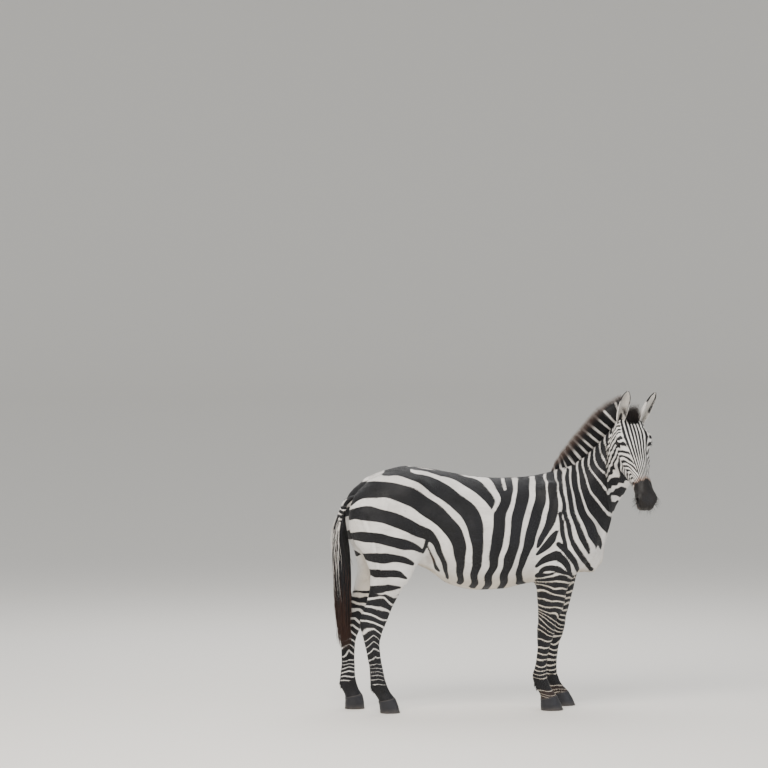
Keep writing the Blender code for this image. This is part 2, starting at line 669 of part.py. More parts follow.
# ------------------------------------------------------------------ parting into nodes
def islands(obj):
    """Splits an object into its loose pieces."""
    bm = bmesh.new()
    bm.from_mesh(obj.data)
    bm.verts.ensure_lookup_table()
    label = [-1] * len(bm.verts)
    pieces = 0
    for vertex in bm.verts:
        if label[vertex.index] >= 0:
            continue
        stack = [vertex]
        label[vertex.index] = pieces
        while stack:
            for edge in stack.pop().link_edges:
                for other in edge.verts:
                    if label[other.index] < 0:
                        label[other.index] = pieces
                        stack.append(other)
        pieces += 1
    bm.free()
    out = []
    for piece in range(pieces):
        part = bmesh.new()
        part.from_mesh(obj.data)
        part.verts.ensure_lookup_table()
        gone = [v for v in part.verts if label[v.index] != piece]
        bmesh.ops.delete(part, geom=gone, context="VERTS")
        mesh = bpy.data.meshes.new("piece")
        part.to_mesh(mesh)
        part.free()
        out.append(mesh)
    return out


def sever(obj, place, half_x, half_y, name, way, material="coat"):
    """Parts a piece from an object with a thin level cut; the piece is the one further along way."""
    bm = bmesh.new()
    bm.from_mesh(obj.data)
    inverse = place.inverted()

    def near(face):
        corners = [inverse @ v.co for v in face.verts]
        middle = sum(corners, Vector()) / len(corners)
        inside = abs(middle.x) < half_x and abs(middle.y) < half_y
        return inside, min(c.z for c in corners), max(c.z for c in corners)

    for level in (GAP / 2, -GAP / 2):
        crossed = []
        for face in bm.faces:
            inside, low, high = near(face)
            if inside and low < GAP and high > -GAP:
                crossed.append(face)
        edges = {e for f in crossed for e in f.edges}
        verts = {v for f in crossed for v in f.verts}
        geom = crossed + sorted(edges, key=lambda e: e.index) + sorted(verts, key=lambda v: v.index)
        at = place @ Vector((0, 0, level))
        normal = place.to_3x3() @ Vector((0, 0, 1))
        bmesh.ops.bisect_plane(bm, geom=geom, dist=0.000001, plane_co=at, plane_no=normal)
        bm.edges.index_update()
        bm.verts.index_update()
    thin = []
    for face in bm.faces:
        inside, low, high = near(face)
        if inside and low > -0.7 * GAP and high < 0.7 * GAP:
            thin.append(face)
    bmesh.ops.delete(bm, geom=thin, context="FACES")
    bmesh.ops.delete(bm, geom=[v for v in bm.verts if not v.link_faces], context="VERTS")
    rims = [e for e in bm.edges if len(e.link_faces) == 1]
    caps = bmesh.ops.holes_fill(bm, edges=rims, sides=0)["faces"]
    bmesh.ops.triangulate(bm, faces=caps)
    bmesh.ops.recalc_face_normals(bm, faces=bm.faces)
    bm.to_mesh(obj.data)
    bm.free()
    pieces = sorted(islands(obj), key=lambda mesh: float(points_of(mesh).mean(0) @ np.array(way, float)))
    obj.data = pieces[0]
    pieces[1].materials.clear()
    return new_object(name, pieces[1], material)


def part_neck(trunk):
    """Returns the names and pieces of the neck and head."""
    (x, z), (nx, nz) = BASE_PLANE
    base = Matrix.Translation((x + 0.13, 0, z - 0.13 * nx / nz)) @ Matrix.Rotation(math.atan2(nx, nz), 4, "Y")
    neck = sever(trunk, base, 0.36, 0.30, "neck", (nx, 0, nz))
    (x, z), (nx, nz) = HEAD_PLANE
    behind = Matrix.Translation((x, 0, z)) @ Matrix.Rotation(math.atan2(nx, nz), 4, "Y")
    return [neck, sever(neck, behind, 0.30, 0.20, "head", (1, 0, 0))]


def part_leg(trunk, name):
    kind, side, _, swing = leg_parts(name)
    names = [name + "_upper", name + "_cannon", name + "_hoof"]
    pieces = [trunk]
    for (x, z, slope, half_x, half_y), new_name in zip(CUTS[kind], names):
        ahead = REACH[name] * float(between(np.array(z), *swing))
        centre = (x + ahead, side * LEG_MIDDLE[kind], z)
        place = Matrix.Translation(centre) @ Matrix.Rotation(-slope, 4, "Y")
        material = "hoof_horn" if new_name.endswith("hoof") else "coat"
        pieces.append(sever(pieces[-1], place, half_x, half_y, new_name, (0, 0, -1), material))
    return pieces[1:]


def part_body(body):
    """Parts the straight body, opens the eye sockets, then turns every piece."""
    body.name = "trunk"
    pieces = [body] + part_neck(body)
    head = pieces[-1]
    for name in REACH:
        pieces += part_leg(body, name)
    for side, word in ((1, "left"), (-1, "right")):
        eye = build_eye(side, "eye_" + word)
        cut(head, swollen(eye, GAP, "socket_" + word))
        pieces.append(eye)
    for piece in pieces:
        put_points(piece.data, turned(points_of(piece.data)))
        triangulated(piece)


def part_tail(tail):
    tail.name = "tail_dock"
    place = Matrix.Translation((TAIL[3][0] + SHIFT[0], SHIFT[1], DOCK_END))
    sever(tail, place, 0.12, 0.10, "tail_tuft", (0, 0, -1), "tail_hair")


def build_materials():
    made = {}
    for name, (colour, rough) in COLOURS.items():
        material = bpy.data.materials.new(name)
        material.use_nodes = True
        shader = material.node_tree.nodes["Principled BSDF"]
        shader.inputs["Base Color"].default_value = colour
        shader.inputs["Roughness"].default_value = rough
        made[name] = material
    return made


def triangulated(obj):
    bm = bmesh.new()
    bm.from_mesh(obj.data)
    bmesh.ops.triangulate(bm, faces=bm.faces)
    bm.to_mesh(obj.data)
    bm.free()


# ------------------------------------------------------------------ build
for old in list(bpy.data.objects):
    bpy.data.objects.remove(old)
PARTS = new_collection("zebra")
CUTTERS = new_collection("cutters")
MATERIALS = build_materials()

part_body(build_body())
mane = upright_fin(CREST, MANE_HEIGHT, MANE_HALF, "mane")
forelock_line = [(on_head(u, v)[0], on_head(u, v)[2]) for u, v in FORELOCK]
forelock = upright_fin(forelock_line, FORELOCK_HEIGHT, FORELOCK_HALF, "forelock", lean=0.55)
mane_block = swollen(mane, CLEARANCE, "mane_block")
forelock_block = swollen(forelock, CLEARANCE, "forelock_block")
trim(mane, ("trunk", "neck", "head"))
cut(forelock, mane_block)
trim(forelock, ("head", "neck"))
for side, word in ((1, "left"), (-1, "right")):
    ear = build_ear(side, "ear_" + word)
    cut(ear, forelock_block)
    cut(ear, mane_block)
    trim(ear, ("head", "neck"))
part_tail(trim(build_tail(), ("trunk", "hindleg_left_upper", "hindleg_right_upper")))
for part in PARTS.objects:
    triangulated(part)
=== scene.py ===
"""Finish of the plains zebra: one skin, its markings and coat, mane, tail, hooves, ears and eyes.

The animal is shaped in a straight pose, in metres, and turned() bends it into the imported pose.
"""
import math
from contextlib import contextmanager

import bmesh
import bpy
import numpy as np
from mathutils import Matrix, Vector
from mathutils.kdtree import KDTree


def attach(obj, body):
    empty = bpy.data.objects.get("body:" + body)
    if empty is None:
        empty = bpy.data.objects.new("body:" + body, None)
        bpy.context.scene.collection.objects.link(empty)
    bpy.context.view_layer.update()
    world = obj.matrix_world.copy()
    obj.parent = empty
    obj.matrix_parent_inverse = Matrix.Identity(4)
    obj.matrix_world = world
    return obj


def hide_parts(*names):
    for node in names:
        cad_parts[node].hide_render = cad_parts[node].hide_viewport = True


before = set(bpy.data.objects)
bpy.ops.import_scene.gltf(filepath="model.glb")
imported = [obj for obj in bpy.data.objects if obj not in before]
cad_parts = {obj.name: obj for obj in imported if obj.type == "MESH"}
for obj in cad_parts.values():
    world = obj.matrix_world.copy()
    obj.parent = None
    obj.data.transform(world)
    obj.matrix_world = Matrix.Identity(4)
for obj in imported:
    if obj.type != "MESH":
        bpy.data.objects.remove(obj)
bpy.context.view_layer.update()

# ---- driving dimensions
SHIFT = (-0.0904, 0.0791, 0.0)  # brings the middle of the footprint over the origin
SKIN_GRID = 0.0095  # first mesh of the skin, made finer later on the head
COAT_DEPTH = 0.004  # length that the lying hair adds over the skin of the trunk
CORE_FLOOR = 0.030  # the skin runs down inside the hooves to this height

MATH, MIX, RANGE, VECTOR = "ShaderNodeMath", "ShaderNodeMix", "ShaderNodeMapRange", "ShaderNodeVectorMath"
NOISE, ATTRIBUTE = "ShaderNodeTexNoise", "ShaderNodeAttribute"
TINTS, SMOOTH = {"out": 2, "data_type": "RGBA"}, {"interpolation_type": "SMOOTHSTEP"}
RANDOM, AIM = "FunctionNodeRandomValue", "FunctionNodeAlignRotationToVector"
# trunk along X: top line, belly line, half width, where it is widest, roof and keel roundness
TRUNK = np.array([
    (-0.690, 1.118, 0.985, 0.085, 0.50, 2.0, 2.0),
    (-0.620, 1.222, 0.900, 0.165, 0.50, 2.0, 2.0),
    (-0.500, 1.312, 0.850, 0.215, 0.46, 1.95, 2.0),
    (-0.380, 1.346, 0.818, 0.238, 0.46, 1.9, 2.0),
    (-0.270, 1.334, 0.772, 0.248, 0.50, 1.85, 2.0),
    (-0.150, 1.311, 0.690, 0.268, 0.54, 1.9, 2.1),
    (0.000, 1.286, 0.657, 0.283, 0.57, 1.9, 2.2),
    (0.130, 1.277, 0.660, 0.276, 0.57, 1.85, 2.2),
    (0.260, 1.281, 0.685, 0.247, 0.56, 1.75, 2.1),
    (0.380, 1.294, 0.705, 0.205, 0.54, 1.6, 2.0),
    (0.480, 1.290, 0.715, 0.180, 0.52, 1.6, 2.0),
    (0.570, 1.215, 0.742, 0.160, 0.50, 1.8, 2.0),
    (0.640, 1.105, 0.755, 0.130, 0.50, 2.0, 2.0),
    (0.680, 0.990, 0.805, 0.085, 0.50, 2.0, 2.0),
])

# neck along its own axis: crest line, throat line, half width
NECK_ROOT, NECK_PITCH = (0.46, 1.02), math.radians(52)
NECK = np.array([
    (-0.020, 0.170, -0.290, 0.155),
    (0.100, 0.185, -0.262, 0.152),
    (0.212, 0.183, -0.215, 0.135),
    (0.300, 0.142, -0.181, 0.120),
    (0.374, 0.116, -0.160, 0.108),
    (0.472, 0.101, -0.140, 0.094),
    (0.578, 0.094, -0.130, 0.083),
    (0.630, 0.088, -0.120, 0.076),
    (0.668, 0.066, -0.100, 0.060),
])

# skull from poll to lips: top line, bottom line, half width, roof and keel roundness
POLL, HEAD_PITCH = (0.884, 1.628), math.radians(-50)
SKULL = np.array([
    (-0.020, -0.020, -0.110, 0.048, 2.0, 2.0),
    (0.030, 0.004, -0.130, 0.066, 2.2, 2.0),
    (0.080, 0.019, -0.150, 0.081, 2.3, 2.0),
    (0.135, 0.024, -0.165, 0.089, 2.5, 2.0),
    (0.190, 0.019, -0.165, 0.086, 2.5, 2.0),
    (0.250, 0.007, -0.155, 0.073, 2.4, 2.0),
    (0.320, -0.007, -0.140, 0.058, 2.3, 2.2),
    (0.400, -0.019, -0.128, 0.048, 2.2, 2.4),
    (0.460, -0.026, -0.122, 0.048, 2.2, 2.4),
    (0.510, -0.034, -0.118, 0.050, 2.2, 2.4),
    (0.550, -0.052, -0.114, 0.044, 2.1, 2.2),
    (0.572, -0.074, -0.104, 0.026, 2.0, 2.0),
])
# lower jaw along the same axis: top line, bottom line, half width
JAW = np.array([
    (0.020, -0.060, -0.150, 0.050),
    (0.070, -0.060, -0.215, 0.064),
    (0.130, -0.060, -0.244, 0.070),
    (0.200, -0.060, -0.235, 0.066),
    (0.280, -0.060, -0.200, 0.054),
    (0.360, -0.060, -0.168, 0.043),
    (0.440, -0.070, -0.150, 0.036),
    (0.500, -0.080, -0.153, 0.036),
    (0.540, -0.090, -0.148, 0.030),
    (0.556, -0.100, -0.132, 0.018),
])

# legs up from the ground: back, front, inner and outer line, roundness
FORELEG = np.array([
    (-0.020, 0.350, 0.476, 0.053, 0.161, 2.2),
    (0.000, 0.346, 0.471, 0.055, 0.159, 2.2),
    (0.070, 0.343, 0.441, 0.065, 0.149, 2.2),
    (0.080, 0.342, 0.435, 0.069, 0.145, 2.1),
    (0.115, 0.326, 0.408, 0.079, 0.135, 2.0),
    (0.150, 0.306, 0.392, 0.077, 0.139, 2.0),
    (0.190, 0.298, 0.381, 0.074, 0.142, 2.0),
    (0.235, 0.310, 0.380, 0.081, 0.136, 2.0),
    (0.290, 0.320, 0.385, 0.086, 0.134, 2.0),
    (0.350, 0.325, 0.396, 0.085, 0.137, 2.0),
    (0.395, 0.322, 0.412, 0.078, 0.148, 2.2),
    (0.440, 0.322, 0.424, 0.075, 0.154, 2.3),
    (0.490, 0.326, 0.431, 0.075, 0.156, 2.1),
    (0.560, 0.324, 0.452, 0.068, 0.166, 2.0),
    (0.640, 0.318, 0.479, 0.058, 0.180, 2.0),
    (0.700, 0.312, 0.508, 0.050, 0.195, 2.0),
    (0.780, 0.316, 0.560, 0.040, 0.215, 2.0),
    (0.880, 0.340, 0.625, 0.030, 0.222, 2.1),
    (0.980, 0.365, 0.635, 0.030, 0.212, 2.1),
    (1.080, 0.365, 0.590, 0.030, 0.185, 2.1),
    (1.180, 0.365, 0.510, 0.030, 0.140, 2.0),
])
HINDLEG = np.array([
    (-0.020, -0.548, -0.428, 0.063, 0.163, 2.2),
    (0.000, -0.546, -0.434, 0.065, 0.161, 2.2),
    (0.070, -0.556, -0.456, 0.072, 0.152, 2.2),
    (0.080, -0.560, -0.462, 0.075, 0.149, 2.1),
    (0.115, -0.583, -0.488, 0.083, 0.139, 2.0),
    (0.150, -0.600, -0.505, 0.081, 0.143, 2.0),
    (0.195, -0.602, -0.519, 0.078, 0.145, 2.0),
    (0.250, -0.606, -0.530, 0.085, 0.137, 2.0),
    (0.310, -0.617, -0.541, 0.087, 0.136, 2.0),
    (0.370, -0.630, -0.546, 0.086, 0.139, 2.0),
    (0.430, -0.645, -0.536, 0.080, 0.149, 2.1),
    (0.480, -0.660, -0.516, 0.076, 0.155, 2.0),
    (0.510, -0.658, -0.503, 0.080, 0.152, 1.9),
    (0.560, -0.642, -0.484, 0.084, 0.153, 1.8),
    (0.620, -0.622, -0.456, 0.080, 0.170, 1.9),
    (0.690, -0.608, -0.418, 0.062, 0.198, 2.0),
    (0.760, -0.606, -0.378, 0.045, 0.222, 2.1),
    (0.840, -0.632, -0.325, 0.030, 0.240, 2.1),
    (0.930, -0.672, -0.285, 0.018, 0.250, 2.1),
    (1.020, -0.705, -0.275, 0.012, 0.246, 2.1),
    (1.100, -0.714, -0.290, 0.012, 0.228, 2.1),
    (1.180, -0.685, -0.320, 0.012, 0.190, 2.0),
    (1.260, -0.600, -0.360, 0.012, 0.130, 2.0),
])
# how far each foot stands ahead of its square place, and the share of it at each height
REACH = {"foreleg_left": 0.107, "foreleg_right": 0.0, "hindleg_left": -0.165, "hindleg_right": 0.0}
MIDDLE = -0.05  # forelegs ahead of this x, hind legs behind it
FORE_SWING = (
    (0.0, 0.08, 0.15, 0.30, 0.50, 0.63, 0.75, 0.90, 1.05),
    (1.0, 0.95, 0.87, 0.87, 0.89, 0.84, 0.55, 0.15, 0.0),
)
HIND_SWING = (
    (0.0, 0.10, 0.30, 0.45, 0.60, 0.75, 0.85, 0.95, 1.05),
    (1.0, 0.90, 0.70, 0.54, 0.38, 0.22, 0.10, 0.03, 0.0),
)

# muscles of the left side: centre, radii, nose-down pitch, blend; the right side mirrors them
MUSCLES = (
    ((-0.465, 0.100, 1.192), (0.190, 0.100, 0.108), -0.26, 0.080),  # croup
    ((-0.345, 0.180, 1.220), (0.070, 0.035, 0.055), 0.30, 0.060),  # point of the hip
    ((-0.630, 0.110, 1.060), (0.075, 0.085, 0.150), 0.15, 0.040),  # back of the thigh
    ((-0.440, 0.160, 0.790), (0.055, 0.050, 0.080), -0.30, 0.040),  # stifle
    ((0.455, 0.120, 1.080), (0.085, 0.058, 0.185), -0.42, 0.080),  # shoulder blade
    ((0.560, 0.135, 0.960), (0.085, 0.075, 0.110), -0.20, 0.050),  # point of the shoulder
    ((0.420, 0.160, 0.880), (0.120, 0.058, 0.105), 0.50, 0.050),  # upper arm
    ((0.632, 0.060, 0.842), (0.060, 0.060, 0.092), 0.00, 0.035),  # breast
    ((0.345, 0.130, 0.745), (0.035, 0.040, 0.045), 0.00, 0.030),  # elbow
    ((0.430, 0.140, 0.620), (0.045, 0.046, 0.110), 0.10, 0.030),  # forearm
)
# on the head: place along, above and beside its axis, radii the same way, blend
HEAD_MUSCLES = (
    ((0.135, -0.140, 0.044), (0.085, 0.085, 0.036), 0.030),  # cheek
    ((0.152, -0.014, 0.072), (0.046, 0.026, 0.026), 0.030),  # brow
    ((0.215, -0.072, 0.058), (0.110, 0.018, 0.022), 0.030),  # cheek bone
    ((0.518, -0.068, 0.036), (0.036, 0.026, 0.022), 0.015),  # nostril
    ((0.548, -0.090, 0.012), (0.030, 0.028, 0.028), 0.020),  # upper lip
    ((0.520, -0.138, 0.006), (0.030, 0.022, 0.028), 0.015),  # chin
    ((0.075, -0.020, 0.052), (0.045, 0.030, 0.026), 0.025),  # temple
)
BLEND = {"neck": 0.09, "jaw": 0.025, "head": 0.045, "leg": 0.06}

EYE_PLACE, EYE_RADIUS = (0.170, -0.040, 0.0790), 0.0205

# the turn: planes (point and normal in XZ) where it starts and ends, spine between them, yaw
BASE_PLANE = ((0.455, 1.28), (0.80, 0.60))
HEAD_PLANE = ((0.852, 1.45), (0.994, -0.11))
SPINE_FROM, SPINE_TO = 0.56, 0.866
NECK_TURN, HEAD_TURN = math.radians(-33), math.radians(-80)
SPINE_STEPS = 200

# ears: root on the head, direction, length, and along the ear half width and cup depth
EAR_ROOT = (0.052, -0.010, 0.060)
EAR_AXIS = (0.40, 0.115, 0.90)
EAR_LEAN = 0.215  # both ears lean to the left
EAR_LENGTH = 0.210
EAR_HALF_WIDTH = ((0.0, 0.18, 0.42, 0.65, 0.87, 1.0), (0.020, 0.026, 0.033, 0.032, 0.025, 0.010))
EAR_CUP = ((0.0, 0.3, 0.7, 1.0), (0.024, 0.026, 0.017, 0.007))

# mane: line along the crest, and its height
CREST = (
    (0.425, 1.285), (0.500, 1.300), (0.600, 1.368), (0.680, 1.452),
    (0.745, 1.532), (0.812, 1.604), (0.862, 1.636),
)
MANE_HEIGHT = ((0.0, 0.06, 0.2, 0.5, 0.8, 1.0), (0.03, 0.085, 0.120, 0.145, 0.145, 0.120))
FORELOCK = ((0.010, 0.000), (0.035, 0.010), (0.060, 0.020), (0.085, 0.026))
FORELOCK_HEIGHT = ((0.0, 0.4, 0.75, 1.0), (0.095, 0.085, 0.060, 0.030))

# tail down its length: centre x, z, half depth along x, half width along y
TAIL = np.array([
    (-0.660, 1.185, 0.030, 0.030),
    (-0.706, 1.158, 0.027, 0.028),
    (-0.734, 1.105, 0.024, 0.024),
    (-0.750, 1.045, 0.028, 0.026),
    (-0.752, 0.985, 0.038, 0.032),
    (-0.747, 0.900, 0.044, 0.036),
    (-0.741, 0.760, 0.046, 0.038),
    (-0.737, 0.600, 0.043, 0.036),
    (-0.733, 0.470, 0.032, 0.026),
    (-0.728, 0.370, 0.016, 0.014),
    (-0.726, 0.330, 0.006, 0.006),
])
DOCK_TIP = 0.985  # where the flesh of the tail ends inside its long hair


# ------------------------------------------------------------------ numbers between stations
def between(x, xs, ys):
    """Monotone cubic through rising stations, level beyond the ends."""
    xs, ys = np.asarray(xs, float), np.asarray(ys, float)
    step, slope = np.diff(xs), np.diff(ys) / np.diff(xs)
    rate = np.zeros_like(ys)
    w1, w2 = 2 * step[1:] + step[:-1], step[1:] + 2 * step[:-1]
    with np.errstate(divide="ignore", invalid="ignore"):
        mean = (w1 + w2) / (w1 / slope[:-1] + w2 / slope[1:])
    rate[1:-1] = np.where(slope[:-1] * slope[1:] > 0, mean, 0.0)
    rate[0], rate[-1] = slope[0], slope[-1]
    x = np.clip(x, xs[0], xs[-1])
    i = np.clip(np.searchsorted(xs, x) - 1, 0, len(xs) - 2)
    t = (x - xs[i]) / step[i]
    ends = ys[i] * (1 + 2 * t) * (1 - t) ** 2 + ys[i + 1] * t * t * (3 - 2 * t)
    return ends + step[i] * (rate[i] * t * (1 - t) ** 2 - rate[i + 1] * t * t * (1 - t))


def columns(x, table):
    return [between(x, table[:, 0], table[:, i]) for i in range(1, table.shape[1])]


def smooth_step(low, high, x):
    t = np.clip((x - low) / (high - low), 0, 1)
    return t * t * (3 - 2 * t)


def band(x, low, full, still, end):
    """One between full and still, falling smoothly to nothing at low and end."""
    return smooth_step(low, full, x) * smooth_step(end, still, x)


def bell(x, width):
    return np.exp(-((x / width) ** 2))


def unit(vectors):
    return vectors / np.maximum(np.linalg.norm(vectors, axis=-1), 1e-9)[..., None]


def blended(base, other, share):
    share = share[:, None]
    return base * (1 - share) + other * share


def smooth_min(a, b, reach):
    share = np.clip(0.5 + 0.5 * (b - a) / reach, 0, 1)
    return b * (1 - share) + a * share - reach * share * (1 - share)


# ------------------------------------------------------------------ the surface as a distance
def ring_distance(across, up, half_across, half_up, power):
    """Distance from a rounded section, measured along the ray from its middle."""
    a, b = np.abs(across) + 1e-7, np.abs(up) + 1e-7
    size = ((a / half_across) ** power + (b / half_up) ** power) ** (1 / power)
    away = np.hypot(a, b)
    return away - away / size


def capped(distance, past_end):
    both = (distance > 0) & (past_end > 0)
    return np.where(both, np.hypot(distance, past_end), np.maximum(distance, past_end))


def ellipsoid_distance(p, centre, radii, pitch):
    q = p - np.array(centre)
    c, s = math.cos(pitch), math.sin(pitch)
    q = np.stack([q[:, 0] * c - q[:, 2] * s, q[:, 1], q[:, 0] * s + q[:, 2] * c], 1)
    k0 = np.linalg.norm(q / radii, axis=1) + 1e-9
    k1 = np.linalg.norm(q / np.square(radii), axis=1) + 1e-9
    return k0 * (k0 - 1) / k1


def loft_distance(along, across, up, table, widest, roof, keel):
    """Distance from a loft whose stations hold its top line, bottom line and half width."""
    lines = columns(along, table)
    top, bottom, half = lines[:3]
    middle = top - (top - bottom) * (lines[3] if widest is None else widest)
    above = up > middle
    power = np.where(above, lines[-2] if roof is None else roof, lines[-1] if keel is None else keel)
    d = ring_distance(across, up - middle, half, np.where(above, top - middle, middle - bottom), power)
    return capped(d, np.maximum(table[0, 0] - along, along - table[-1, 0]))


def slanted(p, root, pitch):
    """Coordinates along and above a slanted axis in the XZ plane."""
    c, s = math.cos(pitch), math.sin(pitch)
    x, z = p[:, 0] - root[0], p[:, 2] - root[1]
    return x * c + z * s, -x * s + z * c


def on_head(u, v, w=0.0):
    """Straight-pose point of a place on the head: along it, above its axis, to its left."""
    c, s = math.cos(HEAD_PITCH), math.sin(HEAD_PITCH)
    return (POLL[0] + u * c - v * s, w, POLL[1] + u * s + v * c)


def leg_parts(name):
    kind = name.split("_")[0]
    side = 1 if name.endswith("left") else -1
    table = FORELEG if kind == "foreleg" else HINDLEG
    return kind, side, table, FORE_SWING if kind == "foreleg" else HIND_SWING


def of_leg(p, name):
    """Which points are in a leg's quarter of the body."""
    kind, side, _, _ = leg_parts(name)
    return ((p[:, 0] > MIDDLE) == (kind == "foreleg")) & (p[:, 1] * side > 0)


def leg_distance(p, name):
    _, side, table, swing = leg_parts(name)
    z = p[:, 2]
    x = p[:, 0] - REACH[name] * between(z, *swing)
    back, front, inner, outer, power = columns(z, table)
    across = p[:, 1] * side - (inner + outer) / 2
    d = ring_distance(across, x - (back + front) / 2, (outer - inner) / 2, (front - back) / 2, power)
    return capped(d, np.maximum(table[0, 0] - z, z - table[-1, 0]))


def head_distance(p, mirrored):
    u, v = slanted(p, POLL, HEAD_PITCH)
    skull = loft_distance(u, p[:, 1], v, SKULL, 0.42, None, None)
    jaw = loft_distance(u, p[:, 1], v, JAW, 0.50, 2.6, 2.6)
    d = smooth_min(skull, jaw, BLEND["jaw"])
    for place, (along, above, beside), blend in HEAD_MUSCLES:
        radii = np.array((along, beside, above))
        d = smooth_min(d, ellipsoid_distance(mirrored, on_head(*place), radii, -HEAD_PITCH), blend)
    return d


def body_distance(p):
    """Signed distance from the straight animal's outline, tips of the coat included."""
    mirrored = p * (1, 0, 1) + np.abs(p) * (0, 1, 0)
    u, v = slanted(p, NECK_ROOT, NECK_PITCH)
    neck = loft_distance(u, p[:, 1], v, NECK, 0.55, 1.75, 2.1)
    trunk = loft_distance(p[:, 0], p[:, 1], p[:, 2], TRUNK, None, None, None)
    d = smooth_min(trunk, neck, BLEND["neck"])
    d = smooth_min(d, head_distance(p, mirrored), BLEND["head"])
    for name in REACH:
        d = smooth_min(d, leg_distance(p, name), BLEND["leg"])
    for centre, radii, pitch, blend in MUSCLES:
        d = smooth_min(d, ellipsoid_distance(mirrored, centre, np.array(radii), pitch), blend)
    return d


def dock_distance(p):
    """Distance from the fleshy root of the tail."""
    z = p[:, 2]
    order = TAIL[::-1]
    middle, deep, wide = [between(z, order[:, 1], order[:, i]) for i in (0, 2, 3)]
    d = ring_distance(p[:, 1], p[:, 0] - middle, wide, deep, 2.0)
    return capped(d, np.maximum(DOCK_TIP - z, z - TAIL[0, 1]))


def head_place(p):
    """Along the head, above its axis, to its left."""
    u, v = slanted(p, POLL, HEAD_PITCH)
    return u, v, p[:, 1]


def head_side(p):
    """Place on the head with its two sides laid over each other."""
    u, v, w = head_place(p)
    return np.stack([u, v, np.abs(w)], 1)


def gap(places, centre):
    return np.linalg.norm(places - centre, axis=1)


def is_head(p):
    """Share of the head in the surface, from the throat forward."""
    u, v, _ = head_place(p)
    behind_jaw = smooth_step(-0.02, 0.05, u + 0.35 * np.minimum(v + 0.12, 0.0))
    return behind_jaw * smooth_step(0.72, 0.80, p[:, 0])


def coat_depth(p):
    """How far the hair tips stand over the skin: least on the face and the feet."""
    u, _, _ = head_place(p)
    face = is_head(p)
    depth = COAT_DEPTH * (1 - 0.45 * face - 0.3 * face * smooth_step(0.35, 0.50, u))
    return depth * (0.45 + 0.55 * smooth_step(0.30, 0.70, p[:, 2]))


def skin_distance(p):
    """Signed distance from the skin under the coat."""
    return smooth_min(body_distance(p), dock_distance(p), 0.03) + coat_depth(p)


def slope_at(p, distance, e):
    return np.stack([(skin_distance(p + step) - distance) / e for step in np.eye(3) * e], 1)


def settle(p, rounds, most=0.02):
    """Moves points onto the surface."""
    for _ in range(rounds):
        d = skin_distance(p)
        slope = slope_at(p, d, 1e-4)
        steep = np.maximum((slope * slope).sum(1), 0.05)
        p = p - slope * (np.clip(d, -most, most) / steep)[:, None]
    return p


# ------------------------------------------------------------------ the turn of the neck
def turn_at(t):
    """Yaw at a share t of the neck: an even bend along it, sharper at the first vertebrae."""
    start, end = smooth_step(-0.15, 1.1, 0.0), smooth_step(-0.15, 1.1, 1.0)
    bend = (smooth_step(-0.15, 1.1, t) - start) / (end - start)
    return NECK_TURN * bend + (HEAD_TURN - NECK_TURN) * smooth_step(0.72, 1.0, t)


def beyond(p, plane):
    (x, z), (nx, nz) = plane
    return (p[:, 0] - x) * nx + (p[:, 2] - z) * nz


def along_neck(p):
    """How far past the plane where the turn starts, past the one where it ends, and the share between."""
    base, head = beyond(p, BASE_PLANE), beyond(p, HEAD_PLANE)
    return base, head, np.clip(base / np.maximum(base - head, 1e-6), 0, 1)


def turned(p):
    """Straight pose to standing pose."""
    p = np.atleast_2d(np.asarray(p, float))
    base, head, t = along_neck(p)
    t = np.where(base <= 0, 0.0, np.where(head >= 0, 1.0, t))
    shares = np.linspace(0, 1, SPINE_STEPS + 1)
    bend = turn_at((shares[:-1] + shares[1:]) / 2)
    run = (SPINE_TO - SPINE_FROM) / SPINE_STEPS
    spine_x = SPINE_FROM + np.concatenate([[0], np.cumsum(np.cos(bend)) * run])
    spine_y = np.concatenate([[0], np.cumsum(np.sin(bend)) * run])
    yaw = turn_at(t)
    x, y = p[:, 0] - SPINE_FROM - (SPINE_TO - SPINE_FROM) * t, p[:, 1]
    out = p.copy()
    out[:, 0] = np.interp(t, shares, spine_x) + x * np.cos(yaw) - y * np.sin(yaw)
    out[:, 1] = np.interp(t, shares, spine_y) + x * np.sin(yaw) + y * np.cos(yaw)
    return out + SHIFT


# ------------------------------------------------------------------ mesh helpers
def mesh_of(points, faces, name):
    mesh = bpy.data.meshes.new(name)
    mesh.from_pydata([tuple(p) for p in points], [], faces)
    mesh.update()
    return mesh


@contextmanager
def edited(mesh):
    """The mesh open for editing, written back at the end."""
    bm = bmesh.new()
    bm.from_mesh(mesh)
    yield bm
    bm.to_mesh(mesh)
    bm.free()


def tube_faces(rows, count):
    """Faces between rows of points that go right round."""
    starts = [(r * count, i, (i + 1) % count) for r in range(rows - 1) for i in range(count)]
    return [(s + i, s + j, s + count + j, s + count + i) for s, i, j in starts]


def loft(rings, name):
    """Skin through rings of equal count, closed at both ends; rings run anticlockwise."""
    count = len(rings[0])
    points = [p for ring in rings for p in ring]
    faces = tube_faces(len(rings), count)
    faces.append(tuple(reversed(range(count))))
    faces.append(tuple(range(len(points) - count, len(points))))
    mesh = mesh_of(points, faces, name)
    with edited(mesh) as bm:
        bmesh.ops.triangulate(bm, faces=bm.faces)
        bmesh.ops.recalc_face_normals(bm, faces=bm.faces)
    return mesh


def turns(count):
    """Evenly spaced angles right round."""
    return [2 * math.pi * i / count for i in range(count)]


def fuller(part, power):
    """Cosine or sine of a section that is fuller than a circle."""
    return math.copysign(abs(part) ** (2 / power), part)


def rounded(half_across, half_up, power, count=20):
    """Points of a rounded section."""
    return [(half_across * fuller(math.cos(a), power), half_up * fuller(math.sin(a), power))
            for a in turns(count)]


def points_of(mesh, kind="co"):
    flat = np.empty(len(mesh.vertices) * 3)
    mesh.vertices.foreach_get(kind, flat)
    return flat.reshape(-1, 3)


